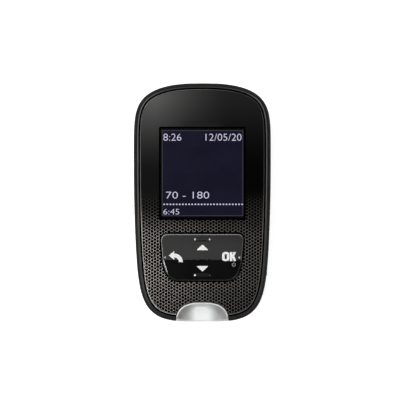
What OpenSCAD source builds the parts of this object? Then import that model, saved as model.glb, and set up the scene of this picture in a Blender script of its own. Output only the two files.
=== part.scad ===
// Hand-held blood glucose meter, lying on its back with its face up.
// X runs across the meter, +Y towards the top end, +Z out of the face.
// The origin is on the resting face, under the middle of the case.

/* [Case] */
// Width of the case at its widest section
body_w = 46; // [44:0.5:56]
// Length of the case from the strip end to the top end
body_l = 80; // [79:0.5:96]
// Thickness from the resting face to the nubs on the key plate
body_t = 20; // [19.5:0.5:24]
// Distance of the widest section above the middle of the length
waist_up = 13.15; // [8:0.05:16]
// Fullness of the top end across the width
top_across = 2.5; // [2.3:0.05:3.5]
// Fullness of the top end along the length
top_along = 5.55; // [4:0.05:6.5]
// Fullness of the strip end across the width
strip_across = 3.75; // [3:0.05:6.5]
// Fullness of the strip end along the length
strip_along = 9.3; // [5:0.1:10]
// Share of its width that the case loses towards the strip end
strip_taper = 0.105; // [0:0.005:0.15]
// Wall thickness of the two covers
wall = 1.6; // [1.3:0.05:2]
// How far the back rounds in from the side to the flat resting face
back_round = 7; // [5:0.25:8]
// Width of the rim that shows round the face plate
rim_w = 1.75; // [1.7:0.05:3]
// Gap between the rim and the face plate
plate_gap = 0.35; // [0.15:0.05:0.5]

/* [Face] */
// Thickness of the face plate in its middle
plate_t = 1.8; // [1.5:0.1:2.4]
// How far the face falls away at the middle of each side
crown_across = 0.45; // [0.2:0.05:0.8]
// How far the face falls away at the two ends
crown_along = 0.5; // [0.2:0.05:0.9]
// Width of the display window
window_w = 28.6; // [24:0.2:31]
// Height of the display window
window_h = 30.8; // [26:0.2:32]
// Distance of the window's centre above the middle of the case
window_up = 9.7; // [9:0.1:11]
// Width of the key plate at its top edge
key_w = 27.8; // [24:0.2:30]
// Height of the key plate
key_h = 15.9; // [13:0.1:16.5]
// Distance of the key plate's centre below the middle of the case
key_down = 18.5; // [18:0.1:20]
// Gap round the key plate
key_gap = 0.35; // [0.25:0.05:0.5]
// How far the key plate tilts each way up and down, in degrees
key_tilt_y = 3; // [1:0.5:3]
// Width of the strip port lens at the end of the case
port_w = 17.4; // [14:0.2:20]
// How far the strip port lens reaches up the face
port_h = 6.3; // [5:0.1:7]

/* [Battery] */
// Diameter of a coin cell
cell_d = 20; // [16:0.5:20]
// Thickness of a coin cell
cell_t = 3.2; // [2:0.1:3.6]
// Distance of the middle of the battery bay above the middle of the case
bay_up = 6.1; // [5:0.1:6.5]
// Thickness of the battery door
door_t = 1.3; // [1:0.05:1.5]

/* [Board and ejector] */
// Thickness of the circuit board
board_t = 1; // [0.8:0.1:1.6]
// Width of the slot for the test strip
slot_w = 7.2; // [6:0.1:8]
// Height of the slot for the test strip
slot_h = 1; // [0.8:0.1:1.4]
// Travel of the ejector button
eject_travel = 1.8; // [1.2:0.1:2]
// Radius of the case screws' shank
screw_r = 0.95; // [0.8:0.05:1.1]

/* [Hidden] */

// Small lengths that several pieces share
seat = 0.05; // running or seating clearance between two pieces
ease = 0.15; // clearance of a piece in its opening
over = 1; // how far a cutting shape runs past the face that it cuts

// Heights above the resting face, built down from the face and up from the back
key_proud = 0.6;
face_top = body_t - key_proud;
plate_seat_z = face_top - plate_t;
deck_t = 1.2;
deck_under_z = plate_seat_z - deck_t;
standoff_h = 2;
board_top_z = deck_under_z - standoff_h;
board_under_z = board_top_z - board_t;
usb_h = 2.7;
strip_z = board_under_z - 2.4;
widest_z = board_under_z - usb_h / 2;
part_z = board_under_z - 3.9;

// Plan of the case
half_w = body_w / 2;
top_reach = body_l / 2 - waist_up;
strip_reach = body_l / 2 + waist_up;
top_corner = 0.83; // share of the reach at which the outline's points change from side to end
strip_corner = 0.93; // and the same at the strip end
bunching = 1.5; // the points lie closer towards the corner by this power

// One quarter of the outline, from the widest section round to the end: [across, along, normal x, normal y]
function quarter_point(a, b, p, q, taper, u, v) =
    let (t = 1 - taper * v * v, gx = p / (a * t) * pow(u, p - 1),
        gy = (q * pow(v, q - 1) + 2 * p * taper * v * pow(u, p) / t) / b, g = norm([gx, gy]))
    [a * t * u, b * v, gx / g, gy / g];
function quarter(a, b, p, q, taper, corner, side_steps, end_steps) =
    let (corner_u = pow(1 - pow(corner, q), 1 / p))
    concat(
        [for (i = [0 : side_steps - 1]) let (v = corner * (1 - pow(1 - i / side_steps, bunching)))
            quarter_point(a, b, p, q, taper, pow(1 - pow(v, q), 1 / p), v)],
        [for (i = [0 : end_steps]) let (u = corner_u * (1 - pow(i / end_steps, bunching)))
            quarter_point(a, b, p, q, taper, u, pow(1 - pow(u, p), 1 / q))]);
top_quarter = quarter(half_w, top_reach, top_across, top_along, 0, top_corner, 8, 10);
strip_quarter = quarter(half_w, strip_reach, strip_across, strip_along, strip_taper, strip_corner, 10, 12);

// The outline, moved inwards by an even distance
function placed(q, sx, sy, inset) = [sx * (q[0] - inset * q[2]), waist_up + sy * (q[1] - inset * q[3])];
function case_ring(inset) =
    let (t = len(top_quarter) - 1, s = len(strip_quarter) - 1)
    concat(
        [for (i = [0 : t]) placed(top_quarter[i], 1, 1, inset)],
        [for (i = [t - 1 : -1 : 0]) placed(top_quarter[i], -1, 1, inset)],
        [for (i = [1 : s]) placed(strip_quarter[i], -1, -1, inset)],
        [for (i = [s - 1 : -1 : 1]) placed(strip_quarter[i], 1, -1, inset)]);
function half_width_at(y) =
    let (v = y > waist_up ? (y - waist_up) / top_reach : (waist_up - y) / strip_reach)
    y > waist_up
        ? half_w * pow(1 - pow(v, top_along), 1 / top_across)
        : half_w * (1 - strip_taper * v * v) * pow(1 - pow(v, strip_along), 1 / strip_across);

// Section of the case: how far the side lies in from the widest line at a height
back_power = 2.2;
function back_point(angle, round_w, low, high) =
    [round_w * (1 - pow(sin(angle), 2 / back_power)), low + (high - low) * (1 - pow(cos(angle), 2 / back_power))];
function back_inset(z) =
    back_round * (1 - pow(1 - pow((widest_z - z) / widest_z, back_power), 1 / back_power));
front_round_w = 3.75;
front_round_h = body_t - widest_z;
function front_inset(z) =
    front_round_w * (1 - sqrt(1 - pow((z - widest_z) / front_round_h, 2)));
rim_z = plate_seat_z + plate_t * 0.4;

// Crowned surface of the face
function face_z(p) = face_top - crown_across * pow(p.x / half_w, 2) - crown_along * pow(2 * p.y / body_l, 2);
function level(ring, z) = [for (p = ring) [p.x, p.y, z]];
function crowned(ring, drop) = [for (p = ring) [p.x, p.y, face_z(p) - drop]];
function shrunk(ring, share) = [for (p = ring) [p.x * share, p.y * share]];

// A closed solid through rings of equal length, listed upwards, with a fan at each end
module loft(rings) {
    n = len(rings[0]);
    last = (len(rings) - 1) * n;
    low = len(rings) * n;
    mean = function (ring) [for (k = [0 : 2]) [for (p = ring) p[k]] * [for (p = ring) 1 / n]];
    polyhedron(
        points = concat([for (ring = rings) each ring], [mean(rings[0]), mean(rings[len(rings) - 1])]),
        faces = concat(
            [for (j = [0 : n : last - n], i = [0 : n - 1]) [j + i, j + n + i, j + n + (i + 1) % n]],
            [for (j = [0 : n : last - n], i = [0 : n - 1]) [j + i, j + n + (i + 1) % n, j + (i + 1) % n]],
            [for (i = [0 : n - 1]) [low, i, (i + 1) % n]],
            [for (i = [0 : n - 1]) [low + 1, last + (i + 1) % n, last + i]]));
}

module slab(ring, z0, z1) {
    translate([0, 0, z0]) linear_extrude(z1 - z0) polygon(ring);
}

module block(x, y, z) {
    translate([x[0], y[0], z[0]]) cube([x[1] - x[0], y[1] - y[0], z[1] - z[0]]);
}

// A polygon with rounded corners, from a list of [x, y, radius]
function unit(v) = v / norm(v);
function corner_arc(a, b, c, r, steps) =
    let (u = unit(a - b), v = unit(c - b), half = acos(u * v) / 2, middle = b + unit(u + v) * r / sin(half),
        p = b + u * r / tan(half) - middle, q = b + v * r / tan(half) - middle,
        start = atan2(p.y, p.x), turn = atan2(p.x * q.y - p.y * q.x, p * q))
    [for (i = [0 : steps]) middle + r * [cos(start + turn * i / steps), sin(start + turn * i / steps)]];
function rounded(corners, steps = 5) =
    let (n = len(corners), xy = [for (c = corners) [c.x, c.y]])
    [for (i = [0 : n - 1]) each corner_arc(xy[(i + n - 1) % n], xy[i], xy[(i + 1) % n], corners[i][2], steps)];
function rounded_box(w, y0, y1, r) =
    rounded([[w / 2, y0, r], [w / 2, y1, r], [-w / 2, y1, r], [-w / 2, y0, r]]);

module rod_x(r, x0, x1, y, z) {
    translate([x0, y, z]) rotate([0, 90, 0]) cylinder(r = r, h = x1 - x0, $fn = 48);
}

module disc(r, p, z0, z1) {
    translate([p.x, p.y, z0]) cylinder(r = r, h = z1 - z0, $fn = 48);
}

// A shape drawn in the plane across the case, stretched along Y, and one drawn lengthwise, stretched along X
module along_y(shape, y0, y1) {
    translate([0, y1, 0]) rotate([90, 0, 0]) linear_extrude(y1 - y0) polygon(shape);
}
module along_x(shape, x0, x1) {
    translate([x0, 0, 0]) rotate([90, 0, 90]) linear_extrude(x1 - x0) polygon(shape);
}

// Display stack
window_y = [window_up - window_h / 2, window_up + window_h / 2];
window_r = 0.6;
window_sink = 0.25; // the window's face lies this far under the plate's lowest corner beside it
window_flange = 0.8;
window_flange_t = 0.7;
window_top_z = face_z([window_w / 2, window_y[1]]) - window_sink;
lcd_border = 0.9; // the glass reaches this far past the window on each side
lcd_ledge = 1.2; // and the rear glass this much further towards the strip end
lcd_w = window_w + 2 * lcd_border;
lcd_y = [window_y[0] - lcd_border - lcd_ledge, window_y[1] + lcd_border];
gasket_t = 0.3;
glass_t = 0.7;
glass_z = plate_seat_z - gasket_t - 2 * glass_t;
tray_wall = 0.8;
tray_floor = 0.4;
tray_w = lcd_w + 2 * tray_wall;
tray_y = [lcd_y[0] - tray_wall, lcd_y[1] + tray_wall];
ribbon_w = 10;
ribbon_t = 0.12;
ribbon_gap = 0.35;

// Key plate: one rocker with a soft ridge across it
key_y = -key_down;
key_tilt_x = key_tilt_y * 0.55; // degrees to each side, over a longer arm
key_ridge_down = 0.8;
nub_proud = 0.1; // the nubs stand this far above the ridge
ridge_z = body_t - nub_proud;
key_fall = [0.47, 0.5]; // how far the plate falls from its ridge to just past its top and bottom edges
key_edge = 0.5;
key_body_t = 1.7;
key_under_z = body_t - key_fall[1] - key_body_t;
key_waist = [0.472, 0.405]; // half widths a little under the middle and at the bottom, as shares of the width
key_corners = [[key_w / 2, key_h / 2, 1.9], [-key_w / 2, key_h / 2, 1.9], [-key_w * key_waist[0], -key_h * 0.1, 9],
    [-key_w * key_waist[1], -key_h / 2, 4.6], [key_w * key_waist[1], -key_h / 2, 4.6],
    [key_w * key_waist[0], -key_h * 0.1, 9]];
function key_ring(grow) =
    [for (p = rounded([for (c = key_corners)
        [c.x + sign(c.x) * grow, c.y + sign(c.y) * (abs(c.y) > key_h / 4 ? grow : 0), c[2] + grow]]))
        [p.x, p.y + key_y]];
lug_reach = 0.9;
lug_t = 0.7;
lug_l = 5;
lug_root = 1;
lug_lift = (key_h / 2 + lug_reach) * sin(key_tilt_y) + (key_w / 2 + lug_reach) * sin(key_tilt_x) + 0.1;
lug_top_z = plate_seat_z - lug_lift;
pivot_r = key_h / 10.6;
pivot_ease = 0.1;
pivot_z = key_under_z - 1.2;
cup_r = key_h * 0.1635;
press_y = key_h * 0.308; // how far the up and down switches lie from the pivot
press_x = key_w / 2 - 4.2; // and the two at the sides
press_spots = [for (d = [[0, press_y], [0, -press_y], [press_x, 0], [-press_x, 0]]) d + [0, key_y]];
dome_r = key_h * 0.132;
dome_h = 0.35;
mat_z = [board_top_z + dome_h + 0.1, board_top_z + dome_h + 0.6];
mat_pad_r = key_h * 0.116;
mat_w = key_w - 1.6;
mat_y = [key_y - key_h / 2 + 0.6, key_y + key_h / 2 - 0.6];

// Strip port
port_power = 2.3;
port_foot = 0.2; // the widest line of the lens lies this far up from the end
function port_ring(grow) =
    let (a = port_w / 2 + grow, h = port_h - port_foot + grow, y = -body_l / 2 + port_foot)
    concat(
        [for (t = [0 : 10 : 180])
            [a * sign(cos(t)) * pow(abs(cos(t)), 2 / port_power), y + h * pow(sin(t), 2 / port_power)]],
        [[-a, -body_l / 2 - over], [a, -body_l / 2 - over]]);
port_top_y = -body_l / 2 + port_h;
port_top_z = face_z([0, port_top_y]) - 0.1;
port_lip = 0.42; // width of the lip round the lens's basin
// The basin's rings from its floor up: [distance in from the lens's side, depth, share of the floor's tilt]
port_basin = [[4.2, 1.23, 1], [1.8, 0.93, 1], [0.75, 0.53, 0.6], [port_lip, 0.1, 0], [port_lip, -over, 0]];
basin_tilt = 0.16; // the floor falls away towards the strip end by this slope

// Board
board_inset = wall + 1.2;
board_y0 = port_top_y + 2.6;

// Battery bay and door
cell_gap = 1;
bay_ease = 0.3;
bay_wall = 1.2;
cell_spots = [bay_up - (cell_d + cell_gap) / 2, bay_up + (cell_d + cell_gap) / 2];
bay_y = [cell_spots[0] - cell_d / 2 - bay_ease, cell_spots[1] + cell_d / 2 + bay_ease];
door_sink = 0.1;
door_z = [door_sink, door_sink + door_t];
door_w = cell_d + 4;
door_r = 1.5;
cell_z = door_z[1] + 0.5;
cell_cap_h = 0.3;
contact_room = 1.3;
bay_top_z = cell_z + cell_t + contact_room;
bay_roof_z = bay_top_z + bay_wall;
bead_r = 1.05;
hinge_y = bay_y[1] + bay_wall + bead_r + 0.45;
hinge_z = door_sink + bead_r;
hinge_pin_r = 0.6;
hinge_pin_l = 0.9;
contact_leg = [1.4, 0.4];
contact_x = cell_d / 4;

// Screws stand beside the display's tray at the top and beside the key plate at the strip end
boss_r = 2.3;
tower_r = 2.7;
boss_pilot_top = 2.2; // the pilot hole ends this far under the deck
screw_top_y = max(hinge_y + 2.5, tray_y[1] + boss_r + 2 * ease);
screw_low_y = key_y - key_h / 2 - 2.6;
screw_in = 7; // distance of the screws from the case's side
screw_spots = [for (y = [screw_top_y, screw_low_y], side = [-1, 1]) [side * (half_width_at(y) - screw_in), y]];
head_r = 1.85;
head_h = 1.3;
head_seat_z = 3;

// Spring clip at the door's free end, and the pocket that it stands in
clip_w = 9.4;
clip_leg = 0.7;
clip_span = 3.2;
clip_hook = 0.6;
clip_thumb = 0.9;
clip_thumb_t = 0.75;
pocket_top_z = door_z[1] + 3;
clip_top_z = pocket_top_z - 0.5;
door_end_y = bay_y[0] - bay_wall - 5.2;
pocket = [[-clip_w / 2 - 0.8, clip_w / 2 + 0.8], [door_end_y - clip_hook - 0.5, bay_y[0] - bay_wall - 0.3]];

// Ejector: the button moves in across the case and its steep wedge drives the pusher twice as far to the strip end
pusher_ratio = 2;
mech_bed_z = pocket_top_z + 1.3;
mech_z = [mech_bed_z + seat, mech_bed_z + seat + 2.6];
button_y = bay_y[0] - 5.4;
button_z = mech_z[0] + 0.7;
button_l = 9;
button_h = 4.2;
button_proud = 0.45;
button_face_x = half_width_at(button_y) - back_inset(button_z) + button_proud;
button_flange_x = half_width_at(button_y - button_l / 2) - back_inset(button_z - button_h / 2) - wall - 0.35;
button_flange_t = 1;
stem_y = [button_y - 2, button_y + 1];
wedge_x = 4;
wedge_mid_y = (stem_y[0] + stem_y[1]) / 2;
wedge_gap = 0.1;
function wedge_line_x(y) = wedge_x - (y - wedge_mid_y) / pusher_ratio;
pusher_y = [stem_y[0] - 3.8, bay_y[0] - bay_wall - 0.4];
pusher_x = [-4, wedge_line_x(stem_y[0]) - wedge_gap];
finger_w = 2;
finger_t = 1.5;
pusher_travel = eject_travel * pusher_ratio;
spring_y0 = pusher_y[0] - pusher_travel - 4;
spring_r = 1;
spring_wire = 0.3;
spring_turns = 6;
spring_z = (mech_z[0] + mech_z[1]) / 2;
rail_w = 1.2;
rail_top_z = mech_z[1] + 0.2;

// Strip connector
connector_w = slot_w + 4.6;
connector_y = [port_top_y + 0.4, pusher_y[0] + finger_t + 2.6];
connector_z0 = strip_z - slot_h / 2 - 0.9;
contact_pitch = 1.3;

// Socket, and the chips on the board's lower side with their [x from, x to], [y from, y to] and height
radio_spot = [[-18, -11], [window_up, window_up + 9]];
radio_h = 1.5;
processor_spot = [[8, 15], [2, 9]];
processor_h = 1;
usb_w = 7.5;
usb_wall = 0.3;
usb_y = [body_l / 2 - 6.4, body_l / 2 - 0.8];
function usb_shape(shrink) =
    [[-usb_w / 2 + shrink, board_under_z - shrink], [-usb_w / 2 + shrink, board_under_z - usb_h * 0.55],
        [-usb_w / 2 + 0.9 + shrink * 0.6, board_under_z - usb_h + shrink],
        [usb_w / 2 - 0.9 - shrink * 0.6, board_under_z - usb_h + shrink],
        [usb_w / 2 - shrink, board_under_z - usb_h * 0.55], [usb_w / 2 - shrink, board_under_z - shrink]];

// The front housing's outer form, up to a height in the band between its widest line and the face
module front_case(top_z) {
    chamfer = 0.3;
    steps = 6;
    loft(concat(
        [level(case_ring(back_inset(part_z)), part_z)],
        [for (i = [0 : steps]) let (z = widest_z + (top_z - chamfer - widest_z) * i / steps)
            level(case_ring(front_inset(z)), z)],
        [level(case_ring(front_inset(top_z - chamfer) + chamfer * 1.2), top_z)]));
}

module front_hollow() {
    loft([level(case_ring(wall + back_inset(part_z)), part_z - over), level(case_ring(wall), widest_z),
        level(case_ring(wall + front_inset(deck_under_z) + 0.2), deck_under_z)]);
}

module front_inner() {
    for (p = screw_spots) disc(boss_r, p, part_z, deck_under_z + over);
    // posts that hold the board down, beside the display
    for (y = [tray_y[0] + 4, tray_y[1] - 6], side = [-1, 1])
        disc(1, [side * (tray_w / 2 + 1.9), y], board_top_z, deck_under_z + over);
    // frame that clamps the key mat
    difference() {
        block([-mat_w / 2 - 0.4, mat_w / 2 + 0.4], [mat_y[0] - 1.2, mat_y[1] - 0.4],
            [mat_z[1] + seat, deck_under_z + over]);
        slab(key_ring(-0.9), mat_z[1] - over, deck_under_z + 2 * over);
        for (p = press_spots) disc(mat_pad_r + 0.3, p, mat_z[1] - over, deck_under_z + 2 * over);
    }
}

// Lugs under the key plate's sides and lower edge, which catch under the face plate
module key_lugs(grow, z0, z1) {
    half_l = lug_l / 2 + grow;
    reach = lug_reach + grow;
    for (side = [-1, 1])
        block([side * key_w / 2 - (side > 0 ? lug_root : reach), side * key_w / 2 + (side > 0 ? reach : lug_root)],
            [key_y + key_h / 4 - half_l, key_y + key_h / 4 + half_l], [z0, z1]);
    block([-half_l, half_l], [key_y - key_h / 2 - reach, key_y - key_h / 2 + lug_root], [z0, z1]);
}

module front_housing() {
    color([0.2, 0.2, 0.21]) difference() {
        front_case(rim_z);
        difference() {
            front_hollow();
            front_inner();
        }
        slab(case_ring(rim_w), plate_seat_z, body_t);
        for (p = screw_spots) disc(screw_r + 0.02, p, part_z - over, deck_under_z - boss_pilot_top);
        block([-tray_w / 2 - ease, tray_w / 2 + ease], [tray_y[0] - ease, tray_y[1] + ease],
            [deck_under_z - over, plate_seat_z + over]);
        slab(key_ring(key_gap), deck_under_z - over, plate_seat_z + over);
        key_lugs(0.3, deck_under_z - over, plate_seat_z + over);
        slab(port_ring(ease), part_z - over, body_t);
        along_y(rounded([for (c = [[1, 1], [-1, 1], [-1, -1], [1, -1]])
            [c.x * (usb_w / 2 + 0.5), widest_z + c.y * (usb_h / 2 + 0.4), 1.2]]), usb_y[1] - 3, body_l / 2 + over);
    }
}

module rear_case() {
    loft(concat(
        [for (angle = [0, 10, 22, 36, 50, 64]) let (p = back_point(angle, back_round, 0, widest_z))
            level(case_ring(p[0]), p[1])],
        [level(case_ring(back_inset(part_z)), part_z)]));
}

module rear_hollow() {
    loft(concat(
        [for (angle = [0, 16, 32, 50]) let (p = back_point(angle, back_round - 0.9, wall, widest_z))
            level(case_ring(wall + p[0]), p[1])],
        [level(case_ring(wall + 0.05), part_z + over)]));
}

// Lip that stands up inside the front housing along the parting line
module parting_lip() {
    lip_t = 0.7;
    difference() {
        union() {
            slab(case_ring(wall - 0.3), part_z - 0.8, part_z);
            slab(case_ring(wall + ease), part_z - seat, part_z + 0.7);
        }
        slab(case_ring(wall + ease + lip_t), part_z - over, part_z + over);
        for (p = screw_spots) disc(boss_r + ease, p, part_z, part_z + over);
        slab(port_ring(ease + 1.2), part_z - 0.1, part_z + over);
    }
}

module rear_inner() {
    floor_z = wall / 2;
    for (p = screw_spots) disc(tower_r, p, floor_z, part_z - seat);
    block([-cell_d / 2 - bay_ease - bay_wall, cell_d / 2 + bay_ease + bay_wall],
        [bay_y[0] - bay_wall, bay_y[1] + bay_wall], [floor_z, bay_roof_z]);
    block([-door_w / 2 - hinge_pin_l - 1.2, door_w / 2 + hinge_pin_l + 1.2],
        [bay_y[1], hinge_y + bead_r + 1.4], [floor_z, hinge_z + bead_r + 1.2]);
    block(pocket.x + [-1, 1], pocket.y + [-3, 1], [floor_z, mech_bed_z]);
}

module rear_upper() {
    parting_lip();
    // posts that carry the board, on the battery bay's roof
    for (x = [-1, 1], y = [bay_y[0] + 2, bay_y[1] - 2])
        disc(1.3, [x * (cell_d / 2 - 1.5), y], bay_roof_z - over / 2, board_under_z);
    // the pusher's and the button's tracks
    left = pusher_x[0] - seat;
    right = pusher_x[1] + wedge_gap + seat;
    for (x = [[left - rail_w, left], [right, right + rail_w]], y = [[spring_y0 - rail_w, stem_y[0] - ease]])
        block(x, y, [wall, rail_top_z]);
    block([left - rail_w, left], [stem_y[0] - 1, pusher_y[1]], [mech_bed_z - 0.5, rail_top_z]);
    for (x = [[left - rail_w, left + 0.9], [right - 0.9, right + rail_w]])
        block(x, [spring_y0 - rail_w, pocket.y[0] - 3], [wall, mech_bed_z]);
    block([left - rail_w, right + rail_w], [spring_y0 - rail_w, spring_y0], [wall, rail_top_z]);
    guide_x = [right + rail_w + 1, button_flange_x - button_flange_t - eject_travel - 1];
    block(guide_x, [stem_y[0] - rail_w, stem_y[1] + rail_w], [mech_bed_z - 1.2, mech_bed_z]);
    for (y = [stem_y[0] - ease - rail_w, stem_y[1] + ease]) block(guide_x, [y, y + rail_w], [wall, rail_top_z]);
}

module oval_x(l, h, x0, x1, y, z) {
    for (side = [-1, 1]) rod_x(h / 2, x0, x1, y + side * (l - h) / 2, z);
    block([x0, x1], [y - (l - h) / 2, y + (l - h) / 2], [z - h / 2, z + h / 2]);
}

module rear_cover() {
    color([0.12, 0.12, 0.13]) difference() {
        union() {
            difference() {
                rear_case();
                difference() {
                    rear_hollow();
                    rear_inner();
                }
            }
            rear_upper();
        }
        // battery bay, its door opening and the hinge's seat
        for (y = cell_spots)
            translate([0, y, -over]) cylinder(r = cell_d / 2 + bay_ease, h = bay_top_z + over, $fn = 96);
        block([-cell_d * 0.42, cell_d * 0.42], [cell_spots[0], cell_spots[1]], [-over, bay_top_z]);
        slab(rounded_box(door_w + 2 * ease, door_end_y - ease, hinge_y, door_r), -over, door_z[1] + 0.1);
        block([-door_w / 2 - ease, door_w / 2 + ease], [hinge_y - bead_r - 0.3, hinge_y + bead_r + ease],
            [-over, hinge_z + bead_r + 0.2]);
        rod_x(hinge_pin_r + seat, -door_w / 2 - hinge_pin_l - 0.2, door_w / 2 + hinge_pin_l + 0.2, hinge_y, hinge_z);
        // the clip's pocket, its thumb notch and a scoop for the fingertip
        block(pocket.x, pocket.y, [door_z[1] + 0.1, pocket_top_z]);
        block([-clip_w / 2 - ease, clip_w / 2 + ease], [door_end_y - clip_thumb - ease, door_end_y],
            [-over, door_sink + clip_thumb_t + ease]);
        translate([0, door_end_y - 4, -11.2]) sphere(r = 12, $fn = 96);
        for (p = screw_spots) {
            disc(head_r + 0.25, p, -over, head_seat_z);
            disc(screw_r + 0.15, p, -over, part_z + over);
        }
        oval_x(button_l + 2 * ease, button_h + 2 * ease, button_flange_x - 0.9, half_w + over, button_y, button_z);
        // slots for the legs of the battery contacts
        for (y = cell_spots) {
            for (side = [-1, 1])
                block([side * contact_x - contact_leg.x / 2 - ease, side * contact_x + contact_leg.x / 2 + ease],
                    [y - contact_leg.y / 2 - ease, y + contact_leg.y / 2 + ease], [bay_top_z - over, bay_roof_z + over]);
            block([-cell_d / 2 - bay_ease - 0.6, -cell_d / 2], [y - 1.6, y + 1.6], [cell_z, bay_roof_z + over]);
        }
    }
}

module face_plate() {
    inset = rim_w + plate_gap;
    bevel = 0.5;
    outer = case_ring(inset);
    inner = case_ring(inset + bevel);
    color([0.03, 0.03, 0.035]) difference() {
        loft(concat([level(outer, plate_seat_z), crowned(outer, bevel), crowned(inner, 0)],
            [for (share = [0.75, 0.5, 0.25]) crowned(shrunk(inner, share), 0)]));
        slab(rounded_box(window_w + 2 * ease, window_y[0] - ease, window_y[1] + ease, window_r),
            plate_seat_z - over, body_t);
        slab(rounded_box(window_w + 2 * window_flange + 2 * ease, window_y[0] - window_flange - ease,
            window_y[1] + window_flange + ease, window_r), plate_seat_z - over, plate_seat_z + window_flange_t + seat);
        slab(key_ring(key_gap), plate_seat_z - over, body_t);
        slab(port_ring(ease), plate_seat_z - over, body_t);
    }
}

module display_window() {
    color([0.02, 0.02, 0.03]) {
        slab(rounded_box(window_w, window_y[0], window_y[1], window_r), plate_seat_z, window_top_z);
        slab(rounded_box(window_w + 2 * window_flange, window_y[0] - window_flange, window_y[1] + window_flange,
            window_r), plate_seat_z, plate_seat_z + window_flange_t);
    }
}

module strip_port_lens() {
    color([0.85, 0.87, 0.87]) difference() {
        intersection() {
            front_case(port_top_z);
            slab(port_ring(0), part_z + seat, body_t);
        }
        loft([for (b = port_basin) [for (p = port_ring(-b[0]))
            [p.x, p.y, port_top_z - b[1] - b[2] * basin_tilt * (port_top_y - p.y)]]]);
        block([-slot_w / 2, slot_w / 2], [-body_l / 2 - over, port_top_y + over],
            [strip_z - slot_h / 2, strip_z + slot_h / 2]);
        // hollow behind the basin, where the lights shine in
        block([-port_w / 2 + 3, port_w / 2 - 3], [port_top_y - 1.6, port_top_y + over],
            [board_under_z - 0.2, board_top_z + 1.2]);
    }
}

module main_board() {
    color([0.05, 0.3, 0.18]) difference() {
        intersection() {
            slab(case_ring(board_inset), board_under_z, board_top_z);
            block([-half_w, half_w], [board_y0, body_l / 2], [board_under_z - over, board_top_z + over]);
        }
        for (p = screw_spots) disc(boss_r + 0.25, p, board_under_z - over, board_top_z + over);
    }
}

module lcd_glass() {
    color([0.16, 0.17, 0.2]) {
        block([-lcd_w / 2, lcd_w / 2], lcd_y, [glass_z, glass_z + glass_t]);
        block([-lcd_w / 2, lcd_w / 2], [lcd_y[0] + lcd_ledge, lcd_y[1]], [glass_z + glass_t, glass_z + 2 * glass_t]);
    }
}

module lcd_backlight() {
    color([0.9, 0.9, 0.88]) block([-lcd_w / 2 + 0.3, lcd_w / 2 - 0.3], [lcd_y[0] + 0.8, lcd_y[1] - 0.3],
        [board_top_z + tray_floor + seat, glass_z - seat]);
}

module lcd_frame() {
    top = plate_seat_z - gasket_t;
    color([0.8, 0.8, 0.78]) difference() {
        block([-tray_w / 2, tray_w / 2], tray_y, [board_top_z, top]);
        block([-lcd_w / 2 - seat, lcd_w / 2 + seat], [lcd_y[0] - ribbon_gap, lcd_y[1] + seat],
            [board_top_z + tray_floor, top + over]);
        // the ribbon goes down through this slot
        block([-ribbon_w / 2 - 0.2, ribbon_w / 2 + 0.2], [lcd_y[0] - ribbon_gap, lcd_y[0] + 0.7],
            [board_top_z - over, board_top_z + tray_floor + over]);
    }
}

module lcd_ribbon() {
    y = lcd_y[0] - ribbon_gap / 2;
    ledge_z = glass_z + glass_t;
    t = ribbon_t;
    color([0.75, 0.45, 0.12]) along_x([[y - t / 2, board_top_z], [y + 0.8, board_top_z], [y + 0.8, board_top_z + t],
        [y + t / 2, board_top_z + t], [y + t / 2, ledge_z], [lcd_y[0] + lcd_ledge - 0.1, ledge_z],
        [lcd_y[0] + lcd_ledge - 0.1, ledge_z + t], [y - t / 2, ledge_z + t]], -ribbon_w / 2, ribbon_w / 2);
}

module lcd_gasket() {
    color([0.1, 0.1, 0.1]) difference() {
        block([-tray_w / 2, tray_w / 2], tray_y, [plate_seat_z - gasket_t, plate_seat_z]);
        block([-window_w / 2, window_w / 2], window_y, [plate_seat_z - over, plate_seat_z + over]);
    }
}

// The key plate's upper side falls away evenly from a ridge to both edges
key_ridge_y = key_y - key_ridge_down;
key_ends = [key_y + key_h / 2 + over, key_y - key_h / 2 - over];
function key_top_z(y) =
    let (end = y > key_ridge_y ? 0 : 1)
    ridge_z - key_fall[end] * (y - key_ridge_y) / (key_ends[end] - key_ridge_y);
bar = [5.4, 1.2, 0.18]; // feeler bars: length, width and how far they stand up
bar_in = 1.6; // they lie this far in from the plate's top and bottom edges
nub_r = 0.32;
nub_in = 1.55; // the nubs lie this far in from the plate's sides
nub_up = 0.2;

module feeler_bar(y) {
    soft = 0.12;
    top = key_top_z(y) + bar.z;
    function bar_ring(inset) = rounded_box(bar.x - 2 * inset, y - bar.y / 2 + inset, y + bar.y / 2 - inset,
        bar.y / 2 - inset - 0.01);
    loft([level(bar_ring(0), key_under_z + 1), level(bar_ring(0), top - soft), level(bar_ring(soft), top)]);
}

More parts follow.
